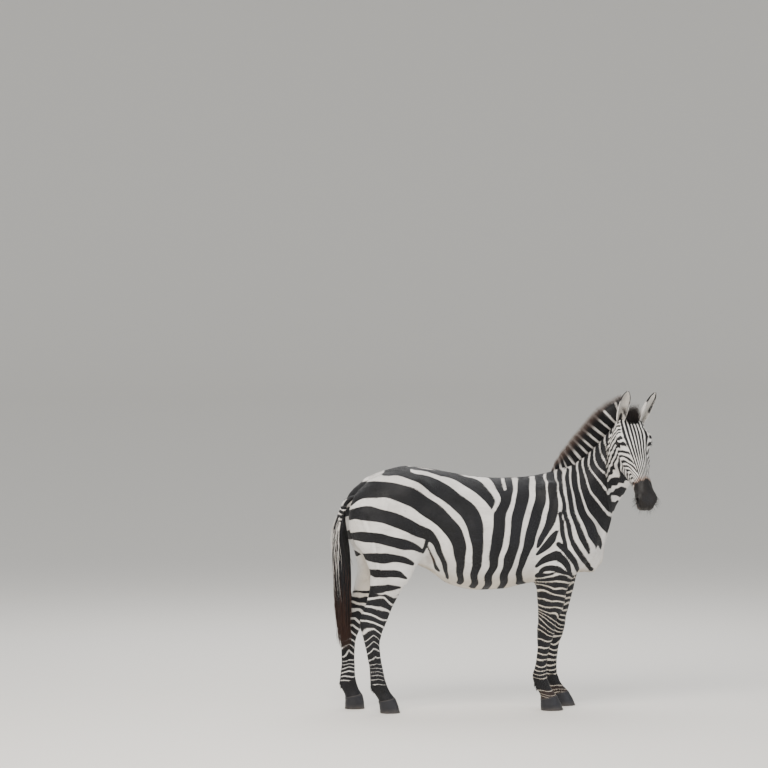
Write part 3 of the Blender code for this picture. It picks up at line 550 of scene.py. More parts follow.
def put_points(mesh, points):
    mesh.vertices.foreach_set("co", np.asarray(points, float).ravel())
    mesh.update()


def evaluated(obj):
    graph = bpy.context.evaluated_depsgraph_get()
    graph.update()
    return bpy.data.meshes.new_from_object(obj.evaluated_get(graph))


def new_piece(name, mesh):
    obj = bpy.data.objects.new(name, mesh)
    bpy.context.scene.collection.objects.link(obj)
    return obj


# ------------------------------------------------------------------ forms fused into the body
def slanted_rings(table, root, pitch, widest, steps=14):
    """Rings of a loft along a slanted axis."""
    c, s = math.cos(pitch), math.sin(pitch)
    rings = []
    for u in np.linspace(table[0, 0], table[-1, 0], steps):
        lines = [float(v) for v in columns(np.array(u), table)]
        top, bottom, half = lines[:3]
        middle = top - (top - bottom) * (lines[3] if widest is None else widest)
        ring = []
        for y, v in rounded(half, 1.0, 2.1):
            v = middle + v * (top - middle if v > 0 else middle - bottom)
            ring.append((root[0] + u * c - v * s, y, root[1] + u * s + v * c))
        rings.append(ring)
    return rings


def leg_rings(name, steps=34):
    _, side, table, swing = leg_parts(name)
    rings = []
    for z in np.linspace(table[0, 0], table[-1, 0], steps):
        back, front, inner, outer, power = [float(v) for v in columns(np.array(z), table)]
        ahead = REACH[name] * float(between(np.array(z), *swing))
        ring = []
        for x, y in rounded((front - back) / 2, (outer - inner) / 2, power):
            ring.append(((back + front) / 2 + ahead + x, side * ((inner + outer) / 2 + y), z))
        rings.append(ring)
    return rings


def ellipsoid_mesh(centre, radii, pitch, side):
    mesh = bpy.data.meshes.new("muscle")
    place = Matrix.Translation((centre[0], centre[1] * side, centre[2])) @ Matrix.Rotation(pitch, 4, "Y")
    with edited(mesh) as bm:
        bmesh.ops.create_icosphere(bm, subdivisions=2, radius=1.0)
        bmesh.ops.scale(bm, vec=radii, verts=bm.verts)
        bmesh.ops.transform(bm, matrix=place, verts=bm.verts)
    return mesh


def add(tree, kind, inputs=None, out=0, **settings):
    """Adds a node, fills or links its inputs, and gives the output asked for, or the node itself."""
    node = tree.nodes.new(kind)
    for key, value in settings.items():
        setattr(node, key, value)
    for key, value in (inputs or {}).items():
        if isinstance(value, bpy.types.NodeSocket):
            tree.links.new(value, node.inputs[key])
        else:
            node.inputs[key].default_value = value
    return node if out is None else node.outputs[out]
# ------------------------------------------------------------------ markings
# Stripes of the right side as lines of (x, z in cm, half width in mm) in the straight pose.
RUMP_AND_BARREL = (
    ((-74, 118, 3), (-66, 124, 6), (-55.5, 130.5, 8), (-47, 132, 18), (-37, 131, 34), (-28, 126.5, 36),
     (-21, 121.5, 40), (-14, 116.5, 40), (-7, 109.5, 43), (-4, 100, 38), (-3, 89, 28), (-4, 78.5, 19),
     (-3, 63, 14)),
    ((-37, 134, 3), (-20, 130.5, 12), (-8, 127, 22), (0, 122.5, 28), (4.5, 116.5, 24), (6, 111.5, 4)),
    ((-75, 110, 6), (-69.5, 117, 12), (-62.5, 121.5, 35), (-53.5, 123, 44), (-46, 121, 46),
     (-39, 118.5, 49), (-31.5, 114, 51), (-25.5, 109.5, 47), (-19.5, 104, 42), (-15, 97.5, 38),
     (-13, 89, 29), (-12.5, 81.5, 19), (-11, 72.5, 12), (-10, 65, 9)),
    ((-74, 107, 18), (-68, 110, 31), (-62.5, 110, 34), (-56, 108.5, 35), (-49, 107, 36),
     (-41.5, 104, 35), (-34, 100.5, 30), (-29, 97.5, 26), (-25.5, 93.5, 18), (-23, 88, 13),
     (-20.5, 82, 9), (-17.5, 73, 3)),
    ((-30.5, 95, 10), (-32, 88, 9)),
    ((-31, 93, 4), (-28, 88, 4), (-25, 82.5, 4), (-22.5, 77.5, 8)),
    ((-69, 97, 20), (-63.5, 97.5, 29), (-57.5, 97, 28), (-51, 95.5, 29), (-44, 93.5, 29),
     (-38.5, 92, 21), (-33.5, 89, 11)),
    ((-65, 86.5, 12), (-60.5, 86, 25), (-54.5, 86, 28), (-49, 85.5, 21), (-43, 84.5, 18), (-38, 82, 9)),
    ((-61, 77.5, 12), (-57, 77, 23), (-52, 77, 22), (-46.5, 77, 19), (-41.5, 75, 6)),
    ((-60, 68.5, 16), (-55.5, 68.5, 20), (-50.5, 69, 15), (-44.5, 69, 5)),
    ((0, 131.5, 5), (6, 130.5, 18), (11, 128, 34), (13.5, 123, 36)),
    ((15, 129, 40), (14.5, 125, 44), (13.5, 119, 36), (10.5, 111.5, 34), (8.5, 102, 31),
     (7.5, 94.5, 27), (6.5, 88, 25), (5.5, 82.5, 21), (4, 74, 18), (4.5, 63, 15)),
    ((27, 130, 26), (25.5, 126, 28), (23.5, 119.5, 31), (21, 111.5, 31), (19, 104, 28),
     (17.5, 96.5, 29), (16, 89, 28), (14, 83, 26), (12.5, 75.5, 20), (13, 63, 15)),
    ((35, 130, 19), (33.5, 118.5, 26), (31, 109.5, 31), (28, 102, 28), (26, 94, 27), (24, 88.5, 21),
     (22, 83, 17), (21, 76.5, 16), (22, 71.5, 15), (27, 69, 5)),
)
SHOULDER = (
    ((41, 130.5, 17), (40, 119.5, 20), (40, 111.5, 21), (38.5, 105.5, 20), (35.5, 99.5, 17),
     (32.5, 95, 12), (30.5, 91, 4)),
    ((41.5, 99, 7), (38.5, 94.5, 19), (34.5, 91, 15), (30, 86.5, 4)),
    ((31, 80, 7), (34.5, 83.5, 17), (38.5, 85.5, 22), (41, 86, 23), (44, 84, 18), (47, 80.5, 13),
     (49.5, 75.5, 5)),
    ((32, 74.5, 3), (34.5, 77.5, 10), (38.5, 78.5, 14), (41.5, 78.5, 13), (45, 76.5, 11), (48, 73, 5)),
    ((42.5, 92, 10), (46.5, 88.5, 13), (49.5, 84.5, 13), (52.5, 80, 11), (55, 76, 6)),
    ((43.5, 110, 3), (44, 104, 9), (45, 98, 10), (46.5, 92, 6), (47, 90, 2)),
    ((46, 130.5, 11), (44.5, 122.5, 8), (45.5, 114.5, 8), (46, 109.5, 9), (48, 101, 10), (49.5, 95, 10),
     (52, 89.5, 11), (55.5, 84.5, 12), (60, 80, 12), (63, 77, 10)),
    ((50, 131, 11), (49, 122, 12), (49.5, 114.5, 13), (50, 109.5, 14), (52, 102, 15), (55, 96.5, 16),
     (57.5, 91, 13), (59.5, 87, 5)),
    ((54, 132, 13), (53.5, 123, 17), (54.5, 115.5, 20), (56, 109, 22), (59.5, 102, 26), (63, 96, 28),
     (66, 91, 24), (67, 87.5, 8)),
    ((58.5, 135, 13), (59.5, 124.5, 19), (62, 118, 28), (66.5, 110, 36), (71, 104, 36), (74, 100, 24)),
    ((61.5, 138, 11), (63, 130, 15), (65, 127, 17), (69.5, 121, 25), (74.5, 115, 26), (78, 111, 24)),
)
NECK_GROUND = ((74, 128, 62), (76, 138, 120), (83, 151, 140), (87, 162, 120))
WHITE_LINES = (
    ((-11, 130.5, 5), (3, 126.5, 9), (8, 122.5, 12), (9.8, 118, 12), (6.5, 111.5, 11)),
    ((-37, 132.8, 7), (-24.5, 129.7, 12), (-11, 124.5, 14), (-0.5, 116.5, 14), (3.5, 111.5, 13)),
    ((14.3, 129.5, 6), (14.6, 126, 9), (14.4, 122, 8)),
    ((44.3, 112, 3), (44.6, 109, 4), (45.6, 104, 5), (46.9, 98, 6.5), (48.4, 92, 9)),
    ((49.5, 131.5, 5), (47.5, 127.5, 5.5), (46.7, 120, 6), (47.8, 112, 7), (50, 103.5, 7.5),
     (53, 94.5, 8)),
    ((53, 134, 5), (51.3, 128, 5.5), (51, 122.5, 6), (52, 114.5, 6.5), (54, 107.5, 7.5),
     (59.3, 94.5, 8)),
    ((57.5, 136.5, 4.5), (56.3, 132, 5.5), (56.5, 125.5, 6), (57.7, 117, 7), (60, 109.5, 8),
     (63.3, 104, 8.5), (68.3, 97, 10)),
    ((60, 139, 4.5), (60.2, 133.5, 5.5), (62, 126.5, 6), (64.5, 119.8, 7), (69.5, 114, 8),
     (76, 106, 7.5)),
    ((63.5, 141.5, 4.5), (64, 134.5, 5), (67.5, 129, 6), (73, 123, 6.5), (80, 116, 6)),
    ((66, 144.5, 4), (66.7, 139.5, 5), (69.5, 135, 5.5), (74.5, 130, 6), (81, 125.5, 4.5)),
    ((69.3, 148.5, 4), (69.5, 145.5, 5), (72, 140, 5.5), (77, 134.5, 6), (84.5, 128, 5.5)),
    ((72.3, 152, 4), (73, 148, 5), (77.5, 142, 5.5), (83, 136, 5.5), (89, 131, 5)),
    ((75, 154.5, 4), (77, 151, 4.5), (80, 147.5, 5), (85, 142.5, 5), (90, 137, 4.5)),
    ((78, 158, 4), (80, 154, 4.5), (84, 150.5, 5), (88, 146, 5)),
    ((81.5, 161.5, 4), (83.5, 158, 4.5), (86, 154, 4.5)),
    ((65.5, 90, 10), (66.5, 86, 26), (65.5, 82, 30), (63.5, 79.5, 12)),
)

# Stripes of the face, counted from the corner of the mouth: rows down the head, columns round it.
FACE_ALONG = (0.02, 0.10, 0.18, 0.26, 0.34, 0.42, 0.50)
FACE_ROUND = (50, 80, 110, 140, 170)
FACE_COUNT = (
    (16.6, 16.0, 15.8, 15.7, 15.6),
    (13.2, 12.8, 12.6, 12.5, 12.4),
    (10.7, 10.1, 9.7, 9.6, 9.7),
    (9.1, 8.1, 7.1, 6.9, 7.6),
    (7.7, 6.1, 4.5, 4.3, 5.4),
    (6.1, 4.1, 1.8, 1.5, 3.2),
    (4.7, 2.7, 0.7, 0.9, 2.2),
)
BROW_LINES, BROW_PERIOD = 3.7, 0.016  # stripes on each half of the forehead, and how far apart

# Rings of the legs: height against ring number, the height where they end, and their dark share
LEG_RINGS = {
    "foreleg": ((0.06, 0.10, 0.17, 0.25, 0.33, 0.40, 0.49, 0.582, 0.66, 0.738, 0.82),
                (-2.2, 0.2, 2.2, 5.5, 8.0, 10.0, 13.4, 17.0, 19.0, 21.0, 23.0)),
    "hindleg": ((0.148, 0.243, 0.30, 0.375, 0.45, 0.52, 0.605, 0.70), (1, 5, 7, 9, 11, 13, 15, 17)),
}
RING_TOP = {"foreleg": 0.757, "hindleg": 0.645}
RING_DARK = {"foreleg": 0.79, "hindleg": 0.77}
FAR = 0.10  # distance to the nearest stripe where none is near


def waves(p, size, seed):
    """Slow even noise from seven crossing waves, between about -1 and 1."""
    rng = np.random.default_rng(seed)
    total = np.zeros(len(p))
    for _ in range(7):
        way = unit(rng.normal(size=3))
        total += np.sin(p @ way * (2 * math.pi / size) * rng.uniform(0.6, 1.5) + rng.uniform(0, 6.3))
    return total / 2.7


def lengths_along(line):
    return np.concatenate([[0], np.cumsum(np.hypot(*np.diff(line, axis=0).T))])


def smooth_line(points, steps=6):
    """A curve through the points of a stripe, in metres."""
    line = np.array(points, float) * (0.01, 0.01, 0.001)
    run = lengths_along(line[:, :2])
    at = np.linspace(0, run[-1], steps * (len(line) - 1) + 1)
    return np.stack([between(at, run, line[:, i]) for i in range(3)], 1)


def line_distance(x, z, line, reach=FAR):
    """Distance to the edge of a stripe, negative inside it."""
    out = np.full(len(x), reach)
    low, high = line[:, :2].min(0), line[:, :2].max(0)
    far = reach + line[:, 2].max()
    near = (x > low[0] - far) & (x < high[0] + far) & (z > low[1] - far) & (z < high[1] + far)
    if not near.any():
        return out
    px, pz = x[near], z[near]
    best = np.full(len(px), reach)
    for (ax, az, ar), (bx, bz, br) in zip(line[:-1], line[1:]):
        dx, dz = bx - ax, bz - az
        t = np.clip(((px - ax) * dx + (pz - az) * dz) / (dx * dx + dz * dz), 0, 1)
        away = np.hypot(px - ax - t * dx, pz - az - t * dz) - (ar + (br - ar) * t)
        best = np.minimum(best, away)
    out[near] = best
    return out


DARK_LINES = [smooth_line(points) for points in RUMP_AND_BARREL + SHOULDER + (NECK_GROUND,)]
PALE_LINES = [smooth_line(points) for points in WHITE_LINES]


def stripe_distance(p):
    """Distance to the nearest stripe edge on trunk, neck and thighs: negative in the dark."""
    left = smooth_step(-0.03, 0.03, p[:, 1])
    # stripes waver by a few millimetres, and those of the left side by a centimetre more
    x, z = p[:, 0], p[:, 2]
    sway_x = 0.010 * np.sin(7 * z + 1.0) + 0.006 * waves(p, 0.3, 5)
    sway_z = 0.010 * np.sin(6 * x + 0.6) + 0.006 * waves(p, 0.3, 6)
    x = x + 0.004 * waves(p, 0.16, 1) + left * sway_x
    z = z + 0.004 * waves(p, 0.16, 2) + left * sway_z
    dark = np.min([line_distance(x, z, line) for line in DARK_LINES], axis=0)
    # the dark is a little wider from the flank forward, and more so on the neck
    dark -= 0.0012 + 0.0026 * smooth_step(-0.35, -0.10, p[:, 0])
    dark -= 0.0110 * smooth_step(0.49, 0.56, p[:, 0]) * smooth_step(0.96, 1.06, p[:, 2])
    for line in PALE_LINES:
        dark = np.maximum(dark, -line_distance(x, z, line))
    return dark


def face_count(u, around):
    """Stripe number on the side of the head from the listed lattice."""
    rows = np.array([between(around, FACE_ROUND, row) for row in FACE_COUNT])
    along = np.array(FACE_ALONG)
    u = np.clip(u, along[0], along[-1])
    i = np.clip(np.searchsorted(along, u) - 1, 0, len(along) - 2)
    t = (u - along[i]) / (along[i + 1] - along[i])
    column = np.arange(len(u))
    before, after = rows[np.maximum(i - 1, 0), column], rows[np.minimum(i + 2, len(along) - 1), column]
    a, b = rows[i, column], rows[i + 1, column]
    ma, mb = (b - before) / 2, (after - a) / 2
    ends = a * (1 + 2 * t) * (1 - t) ** 2 + b * t * t * (3 - 2 * t)
    return ends + ma * t * (1 - t) ** 2 - mb * t * t * (1 - t)


def by_leg(front, heights):
    return np.where(front, heights["foreleg"], heights["hindleg"])


def leg_at(p):
    """Each point's place across its leg, its ring, whether it is a foreleg, how far off the leg it is."""
    front = p[:, 0] > MIDDLE
    ring, outer, beside = np.zeros((3, len(p)))
    for name in REACH:
        kind, side, table, swing = leg_parts(name)
        mine = of_leg(p, name)
        z = p[mine, 2]
        back, fore, inner, out, _ = columns(z, table)
        ahead = p[mine, 0] - REACH[name] * between(z, *swing) - (back + fore) / 2
        beside[mine] = np.abs(ahead) - (fore - back) / 2
        outer[mine] = (p[mine, 1] * side - (inner + out) / 2) / ((out - inner) / 2)
        heights, numbers = LEG_RINGS[kind]
        if kind == "foreleg":
            lift = 0.22 * ahead * band(z, 0.50, 0.62, 0.69, 0.73)
            lift = lift + 0.65 * ahead * band(z, 0.36, 0.46, 0.50, 0.58)
            lift = lift + np.abs(ahead) * (0.45 * smooth_step(0.68, 0.74, z) - 0.15)
        else:
            lift = 0.30 * ahead * smooth_step(0.40, 0.50, z)
            lift = lift + (0.15 + 0.55 * band(z, 0.22, 0.30, 0.42, 0.50)) * np.abs(ahead - 0.004)
        lift = lift + 0.006 * waves(p[mine], 0.09, 11 + side + 3 * (kind == "foreleg"))
        ring[mine] = between(z + lift, heights, numbers)
    return outer, ring, front, beside


BLACK_FOOT = {"foreleg": 0.172, "hindleg": 0.155}  # black below this height
WHITE_PASTERN = 0.118  # and the forelegs are pale again below this one
CHESTNUT = (0.365, 0.525)  # bare callus inside the foreleg
FACE_PERIOD, RING_PERIOD, BAR_PERIOD = 0.024, 0.033, 0.024  # one dark stripe and one pale
BAR_DARK = 0.66  # dark share of the bars on the dock
MUZZLE_EDGE = 0.432  # the muzzle is black from here down the nose
EYE_BLACK = 0.026  # half width of the black round the eye


def markings(p):
    """What the coat's colours follow at each point of the straight pose."""
    u, v, _ = head_place(p)
    x, y, z = p.T
    aside = np.abs(y)
    stripe = stripe_distance(p)

    # along the spine, and the belly's pale middle with its one dark line
    on_top = smooth_step(1.12, 1.20, z) * smooth_step(0.46, 0.42, x)
    stripe = np.where(on_top > 0.5, np.minimum(stripe, aside - 0.010 - 0.003 * waves(p, 0.2, 3)), stripe)
    under = smooth_step(0.80, 0.70, z) * band(x, -0.36, -0.26, 0.52, 0.62)
    midline = aside - 0.009 * band(x, -0.22, -0.12, 0.4, 0.5)
    stripe = np.where((z < 0.72) & (aside < 0.05), np.minimum(stripe, midline), stripe)

    # rings round the legs, fainter on their inner sides; black fetlocks, hind feet black to the hoof
    outer, ring, front, beside = leg_at(p)
    top = by_leg(front, RING_TOP)
    rings = smooth_step(0.012, -0.012, z - top - 0.02 * waves(p, 0.15, 4)) * smooth_step(0.80, 0.74, z)
    rings = rings * np.maximum(smooth_step(0.025, 0.0, beside), smooth_step(0.66, 0.64, z))
    hidden = smooth_step(-0.1, -0.75, outer)
    duty = by_leg(front, RING_DARK) + 0.05 * waves(p, 0.12, 8)
    duty = duty + np.where(front, 0.04, 0.14) * smooth_step(0.50, 0.35, z) - 0.12 * hidden
    duty = duty + front * (0.07 * band(z, 0.38, 0.43, 0.53, 0.58) + 0.08 * smooth_step(0.14, 0.12, z))
    foot = z - by_leg(front, BLACK_FOOT) - 0.005 * waves(p, 0.05, 9)
    pastern = WHITE_PASTERN - z - 0.005 * waves(p, 0.03, 10)
    foot = np.where(front, np.maximum(foot, pastern), foot)
    chestnut = np.hypot((z - CHESTNUT[1]) / 1.7, x - CHESTNUT[0]) - 0.011
    foot = np.where(front & (outer < -0.4), np.minimum(foot, chestnut), foot)
    inner_thigh = smooth_step(-0.2, -0.8, outer) * band(z, 0.52, 0.62, 0.80, 0.95)
    stripe = stripe + 0.05 * inner_thigh * (x < 0)

    # face: lines along the forehead and nose, hooks round the mouth, upright stripes on the cheek
    head = is_head(p)
    high = z > 1.0
    around = np.degrees(np.arctan2(aside, v + 0.055))
    brow = BROW_LINES * around / 52
    cheek = face_count(u, around) + 0.12 * waves(p, 0.05, 21)
    side_share = smooth_step(44, 58, around + 40 * smooth_step(0.06, 0.0, u))
    face_duty = 0.63 - 0.12 * side_share + 0.04 * waves(p, 0.07, 22)

    # pale bars across the root of the tail
    dock = smooth_step(0.012, -0.012, dock_distance(p))
    dock = dock * smooth_step(-0.69, -0.72, x) * smooth_step(1.15, 1.12, z)
    bars = (z + 0.5 * aside) / BAR_PERIOD

    # black muzzle with a rusty border, black round the eye, and painted shade in the stifle fold
    nose = u + 0.10 * (v + 0.08) + 0.006 * waves(p, 0.04, 23)
    edge = MUZZLE_EDGE + 0.05 * smooth_step(-0.09, -0.14, v)
    muzzle = head * smooth_step(-0.006, 0.006, nose - edge)
    rust_and_fold_shade = head * smooth_step(0.050, 0.0, np.abs(nose - edge - 0.012)) * smooth_step(-0.13, -0.07, v)
    lip = head * smooth_step(-0.112, -0.135, v) * smooth_step(0.44, 0.50, u)
    # painted shade: a brownish patch in the fold between flank and thigh, laid on with the rust
    fold = np.hypot((x + 0.275) / 1.3, (z - 0.845) / 1.6)
    rust_and_fold_shade = np.maximum(rust_and_fold_shade, 0.30 * smooth_step(0.030, 0.008, fold) * (aside > 0.08) * ~high)
    rust_and_fold_shade = np.maximum(rust_and_fold_shade, 0.14 * smooth_step(0.0, 0.012, pastern) * front * ~high)
    eye = np.linalg.norm((head_side(p) - EYE_PLACE) / (1.25, 0.85, 1.0), axis=1)
    ink = eye - EYE_BLACK - 0.002 * waves(p, 0.02, 24)
    on_dock = dock > 0.5
    return {
        "mark_a": np.stack([stripe, np.where(on_dock, bars, np.where(high, cheek, ring)), brow], 1),
        "mark_b": np.stack([np.where(on_dock, BAR_DARK, np.where(high, face_duty, duty)),
                            np.maximum(np.maximum(rings, head), dock), (1 - side_share) * high], 1),
        "mark_c": np.stack([np.where(high, ink, foot), muzzle, rust_and_fold_shade], 1),
        "mark_d": np.stack([np.clip((under + 0.8 * inner_thigh) * (1 - head) + lip, 0, 1),
                            np.where(high, FACE_PERIOD, RING_PERIOD), head], 1),
    }


# ------------------------------------------------------------------ folds, lids, nostrils and mouth
# Grooves and ridges of the trunk and limbs: points (x, z in cm), depth and width in mm.
RELIEF = (
    (((41, 118), (38, 106), (35, 95), (35, 86)), 5, 16),  # behind the shoulder blade
    (((45, 121), (49, 108), (54, 97)), 3, 10),  # spine of the shoulder blade
    (((36, 88), (42, 90), (48, 92)), 5, 13),  # over the forearm's muscles
    (((60, 100), (57, 92), (55, 84)), 5, 14),  # in front of the shoulder
    (((-28, 76), (-30, 86), (-33, 96), (-37, 106)), 7, 18),  # flank fold
    (((-33, 112), (-29, 103), (-26, 94)), 5, 24),  # hollow of the flank
    (((-64, 108), (-60, 96), (-57, 84), (-56, 74)), 5, 11),  # between the thigh's muscles
    (((-50, 76), (-52, 68), (-55, 60)), 4, 9),
    (((-60, 60), (-59, 54)), 5, 9),  # in front of the hock's tendon
    (((39, 64), (38, 56), (37.5, 49)), 3, 7),
    (((36.5, 40), (35.5, 31), (34.5, 22)), 4, 6),  # between cannon bone and tendons
    (((-58.5, 45), (-57.5, 34), (-56, 23)), 4, 6),
    (((33, 78), (36, 80), (40, 79)), 3, 9),
    (((61, 121), (69, 130), (75, 140), (79, 149)), -3, 18),  # muscle along the neck
    (((64, 112), (72, 121), (79, 132), (82, 141)), 5, 13),  # groove of the throat
)
EYE_GAZE = (0.20, 0.16, 0.97)
EYE_LONG = (0.95, -0.30, 0.0)
EYE_HALF_LENGTH, EYE_UPPER, EYE_LOWER = 0.0190, 0.0120, 0.0088
NOSTRIL_PLACE, NOSTRIL_GAZE, NOSTRIL_LONG = (0.527, -0.078, 0.0400), (0.42, 0.22, 0.88), (0.45, -0.89, 0.0)
NOSTRIL_HALF = (0.0175, 0.0085)
MOUTH = ((0.44, 0.48, 0.53, 0.575), (-0.134, -0.131, -0.124, -0.116))


def facing(gaze, long):
    """Axes of an opening on the left of the head: outward, along it, and up across it."""
    gaze = unit(np.array(gaze))
    long = unit(np.array(long) - gaze * np.dot(gaze, long))
    return gaze, long, np.cross(gaze, long)


def opening(q, place, gaze, long, half_long, half_up, half_down, power):
    """Place over an opening: distance outside its rim, along, across and out of it."""
    out, along, up = facing(gaze, long)
    r = q - np.array(place)
    a, b, c = r @ along, r @ up, r @ out
    return ring_distance(a, b, half_long, np.where(b > 0, half_up, half_down), power), a, b, c


def shape_head(p, n):
    """Sockets and lids, nostrils, lips, the hollows and ridges of the face."""
    u, v, w = head_place(p)
    c, s = math.cos(HEAD_PITCH), math.sin(HEAD_PITCH)
    side = np.where(w < 0, -1.0, 1.0)
    q, aside = head_side(p), np.abs(w)
    move = np.zeros_like(p)

    def push(direction, amount):
        """Adds a move given along, above and beside the head's axis."""
        d = np.asarray(direction) * amount[:, None]
        move[:, 0] += d[:, 0] * c - d[:, 1] * s
        move[:, 2] += d[:, 0] * s + d[:, 1] * c
        move[:, 1] += d[:, 2] * side

    rim, a, b, out = opening(q, EYE_PLACE, EYE_GAZE, EYE_LONG, EYE_HALF_LENGTH, EYE_UPPER, EYE_LOWER, 1.8)
    near = smooth_step(0.075, 0.045, gap(q, EYE_PLACE)) * (out > -0.02)
    ball = np.sqrt(np.maximum(EYE_RADIUS ** 2 - a * a - b * b, (0.32 * EYE_RADIUS) ** 2))
    upper = smooth_step(-0.004, 0.006, b)
    lid = ball + 0.0016 + 0.0014 * upper + 0.0012 * bell(rim - 0.0022, 0.0016)
    open_share = smooth_step(0.0004, -0.0008, rim)
    level = lid * (1 - open_share) + (ball - 0.006) * open_share
    grip = smooth_step(0.017, 0.003, rim) * near
    eye_push = (level - out) * grip
    folds = 0.0016 * np.sin((rim - 0.006) * 900) * band(rim, 0.004, 0.007, 0.012, 0.019) * upper
    brow = 0.004 * bell(rim - 0.021, 0.008) * smooth_step(0.0, 0.012, b)
    bag = 0.0035 * bell(rim - 0.014, 0.006) * smooth_step(0.002, -0.008, b)
    push(facing(EYE_GAZE, EYE_LONG)[0], eye_push + near * (folds + brow - bag))

    rim, a, b, out = opening(
        q, NOSTRIL_PLACE, NOSTRIL_GAZE, NOSTRIL_LONG, *NOSTRIL_HALF, NOSTRIL_HALF[1], 1.7)
    near = smooth_step(0.055, 0.030, gap(q, NOSTRIL_PLACE))
    hole = smooth_step(0.0015, -0.006, rim)
    roll = 0.0034 * bell(rim - 0.0035, 0.0030) * (0.5 + 0.5 * smooth_step(0.004, -0.004, b))
    behind = 0.003 * bell(rim - 0.013, 0.005) * smooth_step(0.0, 0.01, b)
    push(facing(NOSTRIL_GAZE, NOSTRIL_LONG)[0], near * (roll - behind - 0.017 * hole))

    line = v - between(u, *MOUTH)
    along = smooth_step(0.446, 0.470, u)
    amount = along * (-0.0060 * bell(line, 0.0024) + 0.0024 * bell(np.abs(line) - 0.008, 0.005))  # lips
    amount += -0.003 * bell(np.hypot((u - 0.446) / 0.010, line / 0.009), 1)  # corner of the mouth
    for height, at_u, long, at_v, high in (
        (0.003, 0.530, 0.020, -0.150, 0.012),  # chin
        (-0.003, 0.490, 0.014, -0.150, 0.012),  # dent behind the chin
        (-0.004, 0.030, 0.016, -0.13, 0.07),  # behind the jowl
    ):
        amount += height * bell(np.hypot((u - at_u) / long, (v - at_v) / high), 1)
    temple = bell(np.hypot((u - 0.100) / 0.024, v / 0.016), 1) * smooth_step(0.04, 0.06, aside)
    slope = v + 0.10 * (u - 0.25)
    cheek_bone = bell(slope + 0.080, 0.009) * band(u, 0.19, 0.23, 0.30, 0.36)
    under_it = bell(slope + 0.104, 0.012) * band(u, 0.23, 0.27, 0.36, 0.44)
    nasal = bell(v + 0.030, 0.012) * band(u, 0.26, 0.32, 0.44, 0.50) * smooth_step(0.015, 0.03, aside)
    split = bell(w, 0.004) * smooth_step(0.555, 0.568, u)
    amount += 0.004 * (cheek_bone - under_it) - 0.006 * temple - 0.0035 * nasal - 0.002 * split
    amount *= is_head(p)
    return p + move * (np.abs(u) < 0.7)[:, None] + n * amount[:, None]


def shape_body(p, n):
    """Grooves between muscles, tendons, and the creases where the neck is bent."""
    amount = np.zeros(len(p))
    for name in REACH:
        kind, _, _, swing = leg_parts(name)
        mine = of_leg(p, name)
        q = p[mine]
        x = q[:, 0] - REACH[name] * between(q[:, 2], *swing)
        total = np.zeros(len(q))
        for points, depth, width in RELIEF:
            line = smooth_line([point + (0,) for point in points])
            if (line[0, 0] > MIDDLE) == (kind == "foreleg"):
                away = line_distance(x, q[:, 2], line)
                total -= 0.001 * depth * bell(away, 0.001 * width)
        amount[mine] = total
    flat_sides = smooth_step(0.25, 0.55, np.abs(n[:, 1]))
    amount *= flat_sides
    ribs = 0.0012 * np.sin((p[:, 0] + 0.12 * p[:, 2]) * 2 * math.pi / 0.062)
    x, y, z = p.T
    amount += ribs * band(x, -0.22, -0.12, 0.22, 0.32) * band(z, 0.74, 0.84, 1.06, 1.16)
    amount -= 0.010 * bell(y, 0.014) * smooth_step(0.60, 0.66, x) * band(z, 0.78, 0.84, 0.95, 1.02)  # breast
    amount -= 0.004 * bell(y, 0.016) * smooth_step(-0.25, -0.40, x) * smooth_step(1.20, 1.27, z)  # croup
    # skin gathers on the inner side of the bend, behind the cheek
    base, _, t = along_neck(p)
    inner = smooth_step(0.0, -0.05, y) * smooth_step(1.60, 1.50, z)
    crease = np.cos((t - 0.80) * 2 * math.pi / 0.11) * band(t, 0.62, 0.75, 0.95, 1.0)
    amount += 0.0030 * crease * inner * (base > 0)
    pores = 0.0005 * waves(p, 0.035, 31)
    return p + n * (amount + pores)[:, None]


def normals_at(p):
    return unit(slope_at(p, skin_distance(p), 2e-4))


# ------------------------------------------------------------------ the skin
def first_skin():
    """Watertight mesh round the overlapping forms, settled on the skin and cut flat in the hooves."""
    dock = []
    for x, z, deep, wide in TAIL[:6]:
        z = max(z, DOCK_TIP)
        dock.append([(x + a, b, z) for a, b in rounded(deep * 0.9, wide * 0.9, 2.0)])
    forms = [
        loft(slanted_rings(TRUNK, (0, 0), 0.0, None, 24), "trunk_form"),
        loft(slanted_rings(NECK, NECK_ROOT, NECK_PITCH, 0.55), "neck_form"),
        loft(slanted_rings(SKULL, POLL, HEAD_PITCH, 0.42, 18), "skull_form"),
        loft(slanted_rings(JAW, POLL, HEAD_PITCH, 0.50), "jaw_form"),
        loft(dock[::-1], "dock_form"),
    ]
    forms += [loft(leg_rings(name), name) for name in REACH]
    for side in (1, -1):
        forms += [ellipsoid_mesh(c, radii, pitch, side) for c, radii, pitch, _ in MUSCLES]
        for (u, v, w), (along, above, beside), _ in HEAD_MUSCLES:
            forms.append(ellipsoid_mesh(on_head(u, v, w), (along, beside, above), -HEAD_PITCH, side))
    joined = bpy.data.meshes.new("forms")
    with edited(joined) as bm:
        for form in forms:
            bm.from_mesh(form)
    obj = new_piece("skin", joined)
    step = obj.modifiers.new("fuse", "REMESH")
    step.mode, step.voxel_size = "VOXEL", SKIN_GRID
    fused = evaluated(obj)
    obj.modifiers.clear()
    obj.data = fused
    put_points(fused, settle(points_of(fused), rounds=4))
    with edited(fused) as bm:
        everything = bm.verts[:] + bm.edges[:] + bm.faces[:]
        cut = bmesh.ops.bisect_plane(bm, geom=everything, plane_co=(0, 0, CORE_FLOOR), plane_no=(0, 0, 1),
                                     clear_inner=True)
        rim = [e for e in cut["geom_cut"] if isinstance(e, bmesh.types.BMEdge)]
        bmesh.ops.holes_fill(bm, edges=rim)
    return obj


